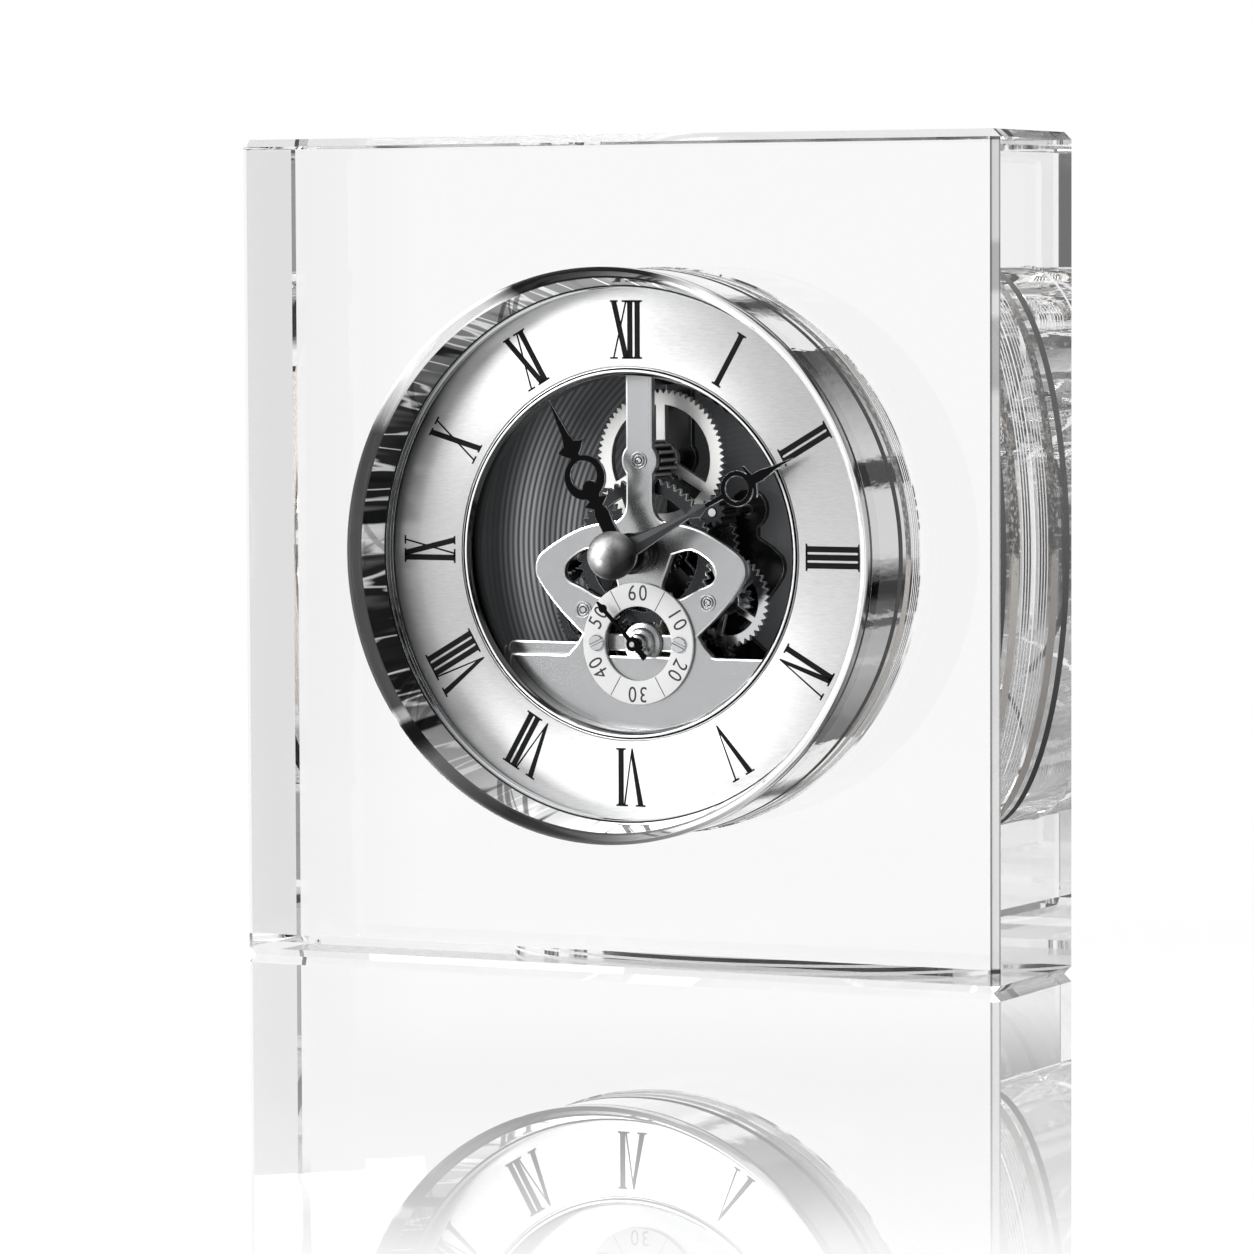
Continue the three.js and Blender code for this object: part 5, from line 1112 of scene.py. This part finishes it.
# arbors with their drums
dress(turnPiece("great_stepped_arbor", [(0, -9.85), (0.4, -9.85), (0.4, -11.4), (0.6, -11.4), (0.6, -18.45),
                                        (1.5, -18.45), (1.55, -18.6), (1.55, -21.7), (1.4, -21.82), (0.6, -21.82),
                                        (0.6, -24.8), (0.4, -24.8), (0.4, -25.6), (0, -25.6)],
                polishedSteel, greatSpot, 72, 0.04), "great_work", "polished_steel", "great_arbor")
dress(turnPiece("third_stepped_arbor", [(0, -9.85), (0.4, -9.85), (0.4, -11.4), (0.6, -11.4), (0.6, -17.05),
                                        (1.5, -17.05), (1.55, -17.2), (1.55, -20.2), (0.6, -20.2), (0.6, -24.6),
                                        (0, -24.6)],
                polishedSteel, thirdSpot, 72, 0.04), "third_work", "polished_steel", "third_arbor")
makeWheel("third_steel_pinion", "third_work", "polished_steel", [], thirdSpot, train["thirdPinion"], centreModule, 0,
          -20.2, 0.8, 0.55, steel)
# cock behind the seconds dial: its long arm shows as a ledge over the segment, a stepped boss holds the arbor
ledge = {"front": -11.3, "back": -12.3, "end": -21.9, "top": -13.2, "foot": -15.2, "corner": 0.9}
cockOutline = arc((7.6, -13.1), 1.2, -90, 90, 24) + [(-6.6, -11.9), (-7.8, -12.1), (-8.8, ledge["top"])]
cockOutline += arc((ledge["end"] + ledge["corner"], ledge["top"] - ledge["corner"]), ledge["corner"], 90, 180, 12)
cockOutline += [(ledge["end"], ledge["foot"]), (-8.4, ledge["foot"]), (-7.0, -14.3)]
dress(cutPiece("polished_seconds_cock", cockOutline, [roundHole(secondsSpot, 0.7, 32)], ledge["front"],
               ledge["back"], [satinSteel, bevelSteel], 0.22, 5, 0.06), "case", "polished_steel", "seconds_cock")
dress(turnPiece("stepped_seconds_boss", [(0.7, -8.7), (1.25, -8.8), (1.45, -9.3), (1.45, -9.8), (2.0, -9.9),
                                         (2.25, -10.3), (2.25, -10.6), (2.9, -10.7), (3.1, -11.0), (3.1, -11.28),
                                         (0.7, -11.28)], satinSteel, secondsSpot, 72, 0.05),
      "case", "polished_steel")
print("wheels made")


# hands
handSetup = {"hourAngle": -27.5, "minuteAngle": 62.7, "secondsAngle": -43.9, "hub": 2.6}


def makeHourHand(setup):
    moonY, moonR, holeR = 12.4, 3.3, 2.05
    right = arc((0, 0), setup["hub"], -90, 60, 30)
    right += [(1.2, 3.6), (1.12, 4.7), (1.25, 6.6), (0.86, 7.6), (1.9, 8.35), (1.95, 8.65), (1.0, 9.0)]
    right += arc((0, moonY), moonR, -69, 73, 40)
    right += [(0.8, 15.8), (1.3, 16.2), (2.2, 17.2), (2.1, 17.5), (1.0, 17.9), (0.6, 19.3), (0.38, 21.9),
              (0.05, 24.9), (0, 24.95)]
    right[0] = (0, -setup["hub"])
    cuspY, cuspR = 10.6, 1.25
    hole = [p for p in arc((0, moonY + 0.35), holeR, -90, 270, 90)
            if math.hypot(p[0], p[1] - cuspY) > cuspR]
    hole.sort(key=lambda p: math.atan2(p[0], -(p[1] - moonY)) % fullTurn)
    side = hole[0]
    half = math.degrees(math.atan2(abs(side[0]), side[1] - cuspY))
    hole += arc((0, cuspY), cuspR, 90 + half - 2, 90 - half + 2, 16)
    angle = setup["hourAngle"]
    hand = cutPiece("moon_hour_hand", turnedBy(bothSides(right), angle),
                    [turnedBy(hole, angle), roundHole((0, 0), 1.25, 32)], -3.95, -4.45, [blackHands, handEdge], 0.11)
    return dress(hand, "hour_work", "black_steel", "hour_hand")


def makeMinuteHand(setup):
    ringY, ringR, holeR = 21.2, 2.6, 1.75
    right = arc((0, 0), setup["hub"], -90, 57, 30)
    right += [(1.36, 2.6), (1.33, 3.0), (0.42, 12.6), (1.1, 14.1), (0.42, 15.7), (0.42, 18.5)]
    right += arc((0, ringY), ringR, -78, 62, 36)
    right += [(2.5, 23.3), (2.35, 23.7), (0.8, 24.3), (0.82, 25.5), (0.38, 27.9), (0.05, 30.9), (0, 30.95)]
    right[0] = (0, -setup["hub"])
    angle = setup["minuteAngle"]
    hand = cutPiece("ring_minute_hand", turnedBy(bothSides(right), angle),
                    [turnedBy(roundHole((0, ringY), holeR, 48), angle), roundHole((0, 0), 0.85, 32)],
                    -2.95, -3.45, [blackHands, handEdge], 0.11)
    return dress(hand, "minute_work", "black_steel", "minute_hand")


def makeKeel(setup):
    # raised middle of the minute hand: (distance along the hand, half width)
    stations = [(2.9, 1.22), (12.5, 0.36), (13.2, 0.62), (14.1, 1.0), (15.0, 0.62), (15.7, 0.34)]
    foot, corners, faces = -2.97, [], []
    for v, half in stations:
        line = turnedBy([(-half, v), (0, v), (half, v)], setup["minuteAngle"])
        for (x, y), rise in zip(line, (0, 0.1 + 0.22 * half, 0)):
            corners.append((x, y, foot + rise))
    last = 3 * (len(stations) - 1)
    for i in range(0, last, 3):
        faces += [(i, i + 1, i + 4, i + 3), (i + 1, i + 2, i + 5, i + 4), (i + 2, i, i + 3, i + 5)]
    faces += [(0, 2, 1), (last + 2, last, last + 1)]
    keel = makePiece("minute_hand_keel", corners, faces, [keelSteel], sharpAngle=5)
    return dress(keel, "minute_work", "black_steel")


def makeSecondsHand(setup):
    right = [(0, -2.8), (0.45, -2.8), (0.4, -1.2)] + arc((0, 0), 1.05, -62, 72, 20)
    right += [(0.28, 1.4), (0.28, 6.4)] + arc((0, 7.0), 0.62, -60, 60, 12)
    right += [(0.26, 7.7), (0.12, 8.3), (0, 8.33)]
    hand = cutPiece("small_seconds_hand", turnedBy(bothSides(right), setup["secondsAngle"], secondsSpot),
                    [roundHole(secondsSpot, 0.45, 24)], -7.7, -8.05, [blackHands], 0.05)
    return dress(hand, "seconds_work", "black_steel", "seconds_hand")


makeHourHand(handSetup)
makeMinuteHand(handSetup)
makeKeel(handSetup)
makeSecondsHand(handSetup)

ballNut = {"radius": 3.5, "centre": -1.0, "flat": -2.85}
ballProfile = [(0, ballNut["centre"] + ballNut["radius"])]
flatAngle = math.acos((ballNut["flat"] - ballNut["centre"]) / ballNut["radius"])
for i in range(1, 41):
    a = flatAngle * i / 40
    ballProfile.append((ballNut["radius"] * math.sin(a), ballNut["centre"] + ballNut["radius"] * math.cos(a)))
ballProfile.append((0, ballNut["flat"]))
dress(turnPiece("steel_ball", ballProfile, ballSteelPaintedLight, steps=96, ease=0), "minute_work", "chromed_brass", "ball_nut")
print("hands made")


# floor, world and lamps
# share of the mirror and of the matt white body of the floor, by metres from the middle
mirrorShare = [(0.0, 0.80), (0.10, 0.79), (0.146, 0.73), (0.195, 0.57), (0.229, 0.38), (0.253, 0.16), (0.275, 0.0)]
mattShare = [(0.0, 0.45), (0.09, 0.40), (0.20, 0.12), (0.40, 0.0)]


def makeFloor():
    # white acrylic sheet: mirrors the block and fades into the white room
    finish = bpy.data.materials.new("whiteAcrylic")
    finish.use_nodes = True
    tree = finish.node_tree
    tree.nodes.clear()
    white = addNode(tree, "ShaderNodeBsdfDiffuse", {"Color": toLinear("#f4f4f4")})
    glow = addNode(tree, "ShaderNodeEmission", {"Color": (1, 1, 1, 1), "Strength": 0.45})
    matt = addNode(tree, "ShaderNodeAddShader", None, {0: (white, "BSDF"), 1: (glow, "Emission")})
    clear = addNode(tree, "ShaderNodeBsdfTransparent")
    mirror = addNode(tree, "ShaderNodeBsdfGlossy", {"Color": (0.99, 0.99, 0.99, 1), "Roughness": 0.006})
    where = addNode(tree, "ShaderNodeTexCoord")
    reach = addNode(tree, "ShaderNodeVectorMath", {"operation": "LENGTH"}, {0: (where, "Object")})
    mattTone = toneRamp(tree, mattShare, reach, "Value")
    mirrorTone = toneRamp(tree, mirrorShare, reach, "Value")
    body = addNode(tree, "ShaderNodeMixShader", None, {0: (mattTone, "Color"), 1: (clear, "BSDF"), 2: (matt, "Shader")})
    surface = addNode(tree, "ShaderNodeMixShader", None,
                      {0: (mirrorTone, "Color"), 1: (body, "Shader"), 2: (mirror, "BSDF")})
    addNode(tree, "ShaderNodeOutputMaterial", None, {"Surface": (surface, "Shader")})
    mesh = bpy.data.meshes.new("acrylicFloor")
    mesh.from_pydata([(-8, -8, 0), (8, -8, 0), (8, 8, 0), (-8, 8, 0)], [], [(0, 1, 2, 3)])
    mesh.materials.append(finish)
    floor = bpy.data.objects.new("acrylicFloor", mesh)
    bpy.context.scene.collection.objects.link(floor)


# white room with black cards, seen only in reflections: (degrees, tone), 0 is the front, 90 the right side
cardsRound = [(-180, 1.0), (-36, 1.0), (-34, 0.04), (-29.0, 0.04), (-28.6, 1.0), (-4, 1.0), (8, 0.5), (18, 0.06),
              (57, 0.05), (61, 1.0), (80, 1.0), (84, 0.06), (118, 0.1), (124, 1.0), (149.0, 1.0), (149.6, 0.85),
              (151.8, 0.85), (153.0, 0.7), (159.0, 0.7), (161.0, 1.0), (180, 1.0)]
# heights of the cards in front of the clock, and behind it
frontHeights = [(-90, 1.0), (-26, 1.0), (-25.5, 0.12), (-21, 0.12), (-20.8, 1.0), (-20, 1.0), (-19.8, 0.12),
                (-16, 0.12), (-15.8, 1.0), (-15.2, 1.0), (-15, 0.15), (-11, 0.15), (-10.5, 1.0), (7, 1.0), (7.3, 0.15),
                (10, 0.15), (10.2, 1.0), (11, 1.0), (11.2, 0.1), (14.5, 0.1), (14.7, 1.0), (15.8, 1.0), (16, 0.12),
                (19, 0.12), (19.2, 1.0), (20, 1.0), (20.2, 0.1), (24.5, 0.1), (25, 1.0), (90, 1.0)]
backHeights = [(-90, 1.0), (-24, 0.35), (-21, 0.02), (-18.6, 0.02), (-18.4, 0.6), (-18, 0.6), (-17.8, 0.02),
               (-15, 0.02), (-14, 0.25), (-13.9, 1.0), (-13.5, 1.0), (-13.4, 0.02), (-12.2, 0.02), (-12, 0.7),
               (-11.6, 0.7), (-11.5, 0.05), (-9.9, 0.05), (-9.8, 0.0), (-6.5, 0.0), (-4.6, 0.25), (-1.9, 1.0),
               (9.0, 1.0), (9.5, 0.06), (13.3, 0.06), (14.0, 0.72), (20.0, 0.45), (23.0, 0.22), (24.2, 0.04),
               (26.6, 0.04), (28.0, 1.0), (90, 1.0)]
# the same behind on the left: narrow strips, which the upper right of the bore mirrors
backLeftHeights = [(-90, 1.0), (-22, 1.0), (-21.6, 0.1), (-19.5, 0.1), (-19.2, 1.0), (-16, 1.0), (-15.8, 0.2),
                   (-13, 0.1), (-12.8, 1.0), (-9, 1.0), (-8.8, 0.15), (-7, 0.15), (-6.8, 1.0), (8.5, 1.0), (8.8, 0.1),
                   (10.2, 0.1), (10.5, 1.0), (12, 1.0), (12.3, 0.08), (14.5, 0.08), (14.8, 0.8), (16.4, 0.8),
                   (16.6, 0.1), (17.6, 0.1), (17.8, 1.0), (19.2, 1.0), (19.4, 0.06), (22.4, 0.06), (22.7, 0.9),
                   (24.6, 0.9), (24.9, 0.05), (90, 1.0)]
# where the cards behind have no edges of height, and the narrow one that stands low
openRound = [(-180, 0.0), (-165, 0.0), (-164, 1.0), (-100, 1.0), (-99, 0.0), (99, 0.0), (100, 1.0), (153, 1.0),
             (154, 0.0), (180, 0.0)]
lowCard = [(-180, 1.0), (-161, 1.0), (-160.5, 0.08), (-156.5, 0.08), (-156, 1.0), (180, 1.0)]


def makeWorld():
    world = bpy.data.worlds.new("whiteStudio")
    bpy.context.scene.world = world
    world.use_nodes = True
    tree = world.node_tree
    tree.nodes.clear()
    degree = math.radians(1)
    where = addNode(tree, "ShaderNodeTexCoord")
    parts = addNode(tree, "ShaderNodeSeparateXYZ", None, {0: (where, "Generated")})
    front = addNode(tree, "ShaderNodeMath", {"operation": "MULTIPLY", 1: -1.0}, {0: (parts, "Y")})
    bearing = addNode(tree, "ShaderNodeMath", {"operation": "ARCTAN2"}, {0: (parts, "X"), 1: (front, "Value")})
    upward = addNode(tree, "ShaderNodeMath", {"operation": "ARCSINE"}, {0: (parts, "Z")})
    sides = toneRamp(tree, cardsRound, bearing, "Value", degree)
    ahead = toneRamp(tree, frontHeights, upward, "Value", degree)
    behindRight = toneRamp(tree, backHeights, upward, "Value", degree)
    behindLeft = toneRamp(tree, backLeftHeights, upward, "Value", degree)
    isRight = addNode(tree, "ShaderNodeMath", {"operation": "GREATER_THAN", 1: 0.0}, {0: (parts, "X")})
    behind = addNode(tree, "ShaderNodeMix", {"data_type": "RGBA"},
                     {0: (isRight, "Value"), 6: (behindLeft, "Color"), 7: (behindRight, "Color")})
    isBehind = addNode(tree, "ShaderNodeMath", {"operation": "GREATER_THAN", 1: 0.0}, {0: (parts, "Y")})
    heights = addNode(tree, "ShaderNodeMix", {"data_type": "RGBA"},
                      {0: (isBehind, "Value"), 6: (ahead, "Color"), 7: (behind, 2)})
    unbroken = toneRamp(tree, openRound, bearing, "Value", degree)
    freed = addNode(tree, "ShaderNodeMix", {"data_type": "RGBA", "blend_type": "LIGHTEN", 0: 1.0},
                    {6: (heights, 2), 7: (unbroken, "Color")})
    both = addNode(tree, "ShaderNodeMix", {"data_type": "RGBA", "blend_type": "MULTIPLY", 0: 1.0},
                   {6: (sides, "Color"), 7: (freed, 2)})
    isLow = addNode(tree, "ShaderNodeMath", {"operation": "LESS_THAN", 1: 2 * degree}, {0: (upward, "Value")})
    lowSide = toneRamp(tree, lowCard, bearing, "Value", degree)
    cards = addNode(tree, "ShaderNodeMix", {"data_type": "RGBA", "blend_type": "MULTIPLY"},
                    {0: (isLow, "Value"), 6: (both, 2), 7: (lowSide, "Color")})
    path = addNode(tree, "ShaderNodeLightPath")
    reflected = addNode(tree, "ShaderNodeMath", {"operation": "GREATER_THAN", 1: 0.5}, {0: (path, "Glossy Depth")})
    tone = addNode(tree, "ShaderNodeMix", {"data_type": "RGBA", 6: (1, 1, 1, 1)},
                   {0: (reflected, "Value"), 7: (cards, 2)})
    straight = addNode(tree, "ShaderNodeMath", {"operation": "MAXIMUM"},
                       {0: (path, "Is Camera Ray"), 1: (path, "Is Transmission Ray")})
    seen = addNode(tree, "ShaderNodeMath", {"operation": "MAXIMUM"},
                   {0: (straight, "Value"), 1: (path, "Is Glossy Ray")})
    strength = toneRange(tree, seen, "Value", 0.6, 1.0)
    light = addNode(tree, "ShaderNodeBackground", None, {"Color": (tone, 2), "Strength": (strength, "Result")})
    addNode(tree, "ShaderNodeOutputWorld", None, {"Surface": (light, "Background")})


softbox = {"spot": (-0.75, -0.85, 0.45), "size": 0.5, "power": 8.0}


def makeLamp(setup):
    lamp = bpy.data.lights.new("mainSoftbox", "AREA")
    lamp.energy, lamp.size = setup["power"], setup["size"]
    holder = bpy.data.objects.new("mainSoftbox", lamp)
    bpy.context.scene.collection.objects.link(holder)
    holder.location = setup["spot"]
    toClock = Vector((0, 0, axisZ * mm)) - Vector(setup["spot"])
    holder.rotation_euler = toClock.to_track_quat("-Z", "Y").to_euler()


makeFloor()
makeWorld()
makeLamp(softbox)
print("stage made")
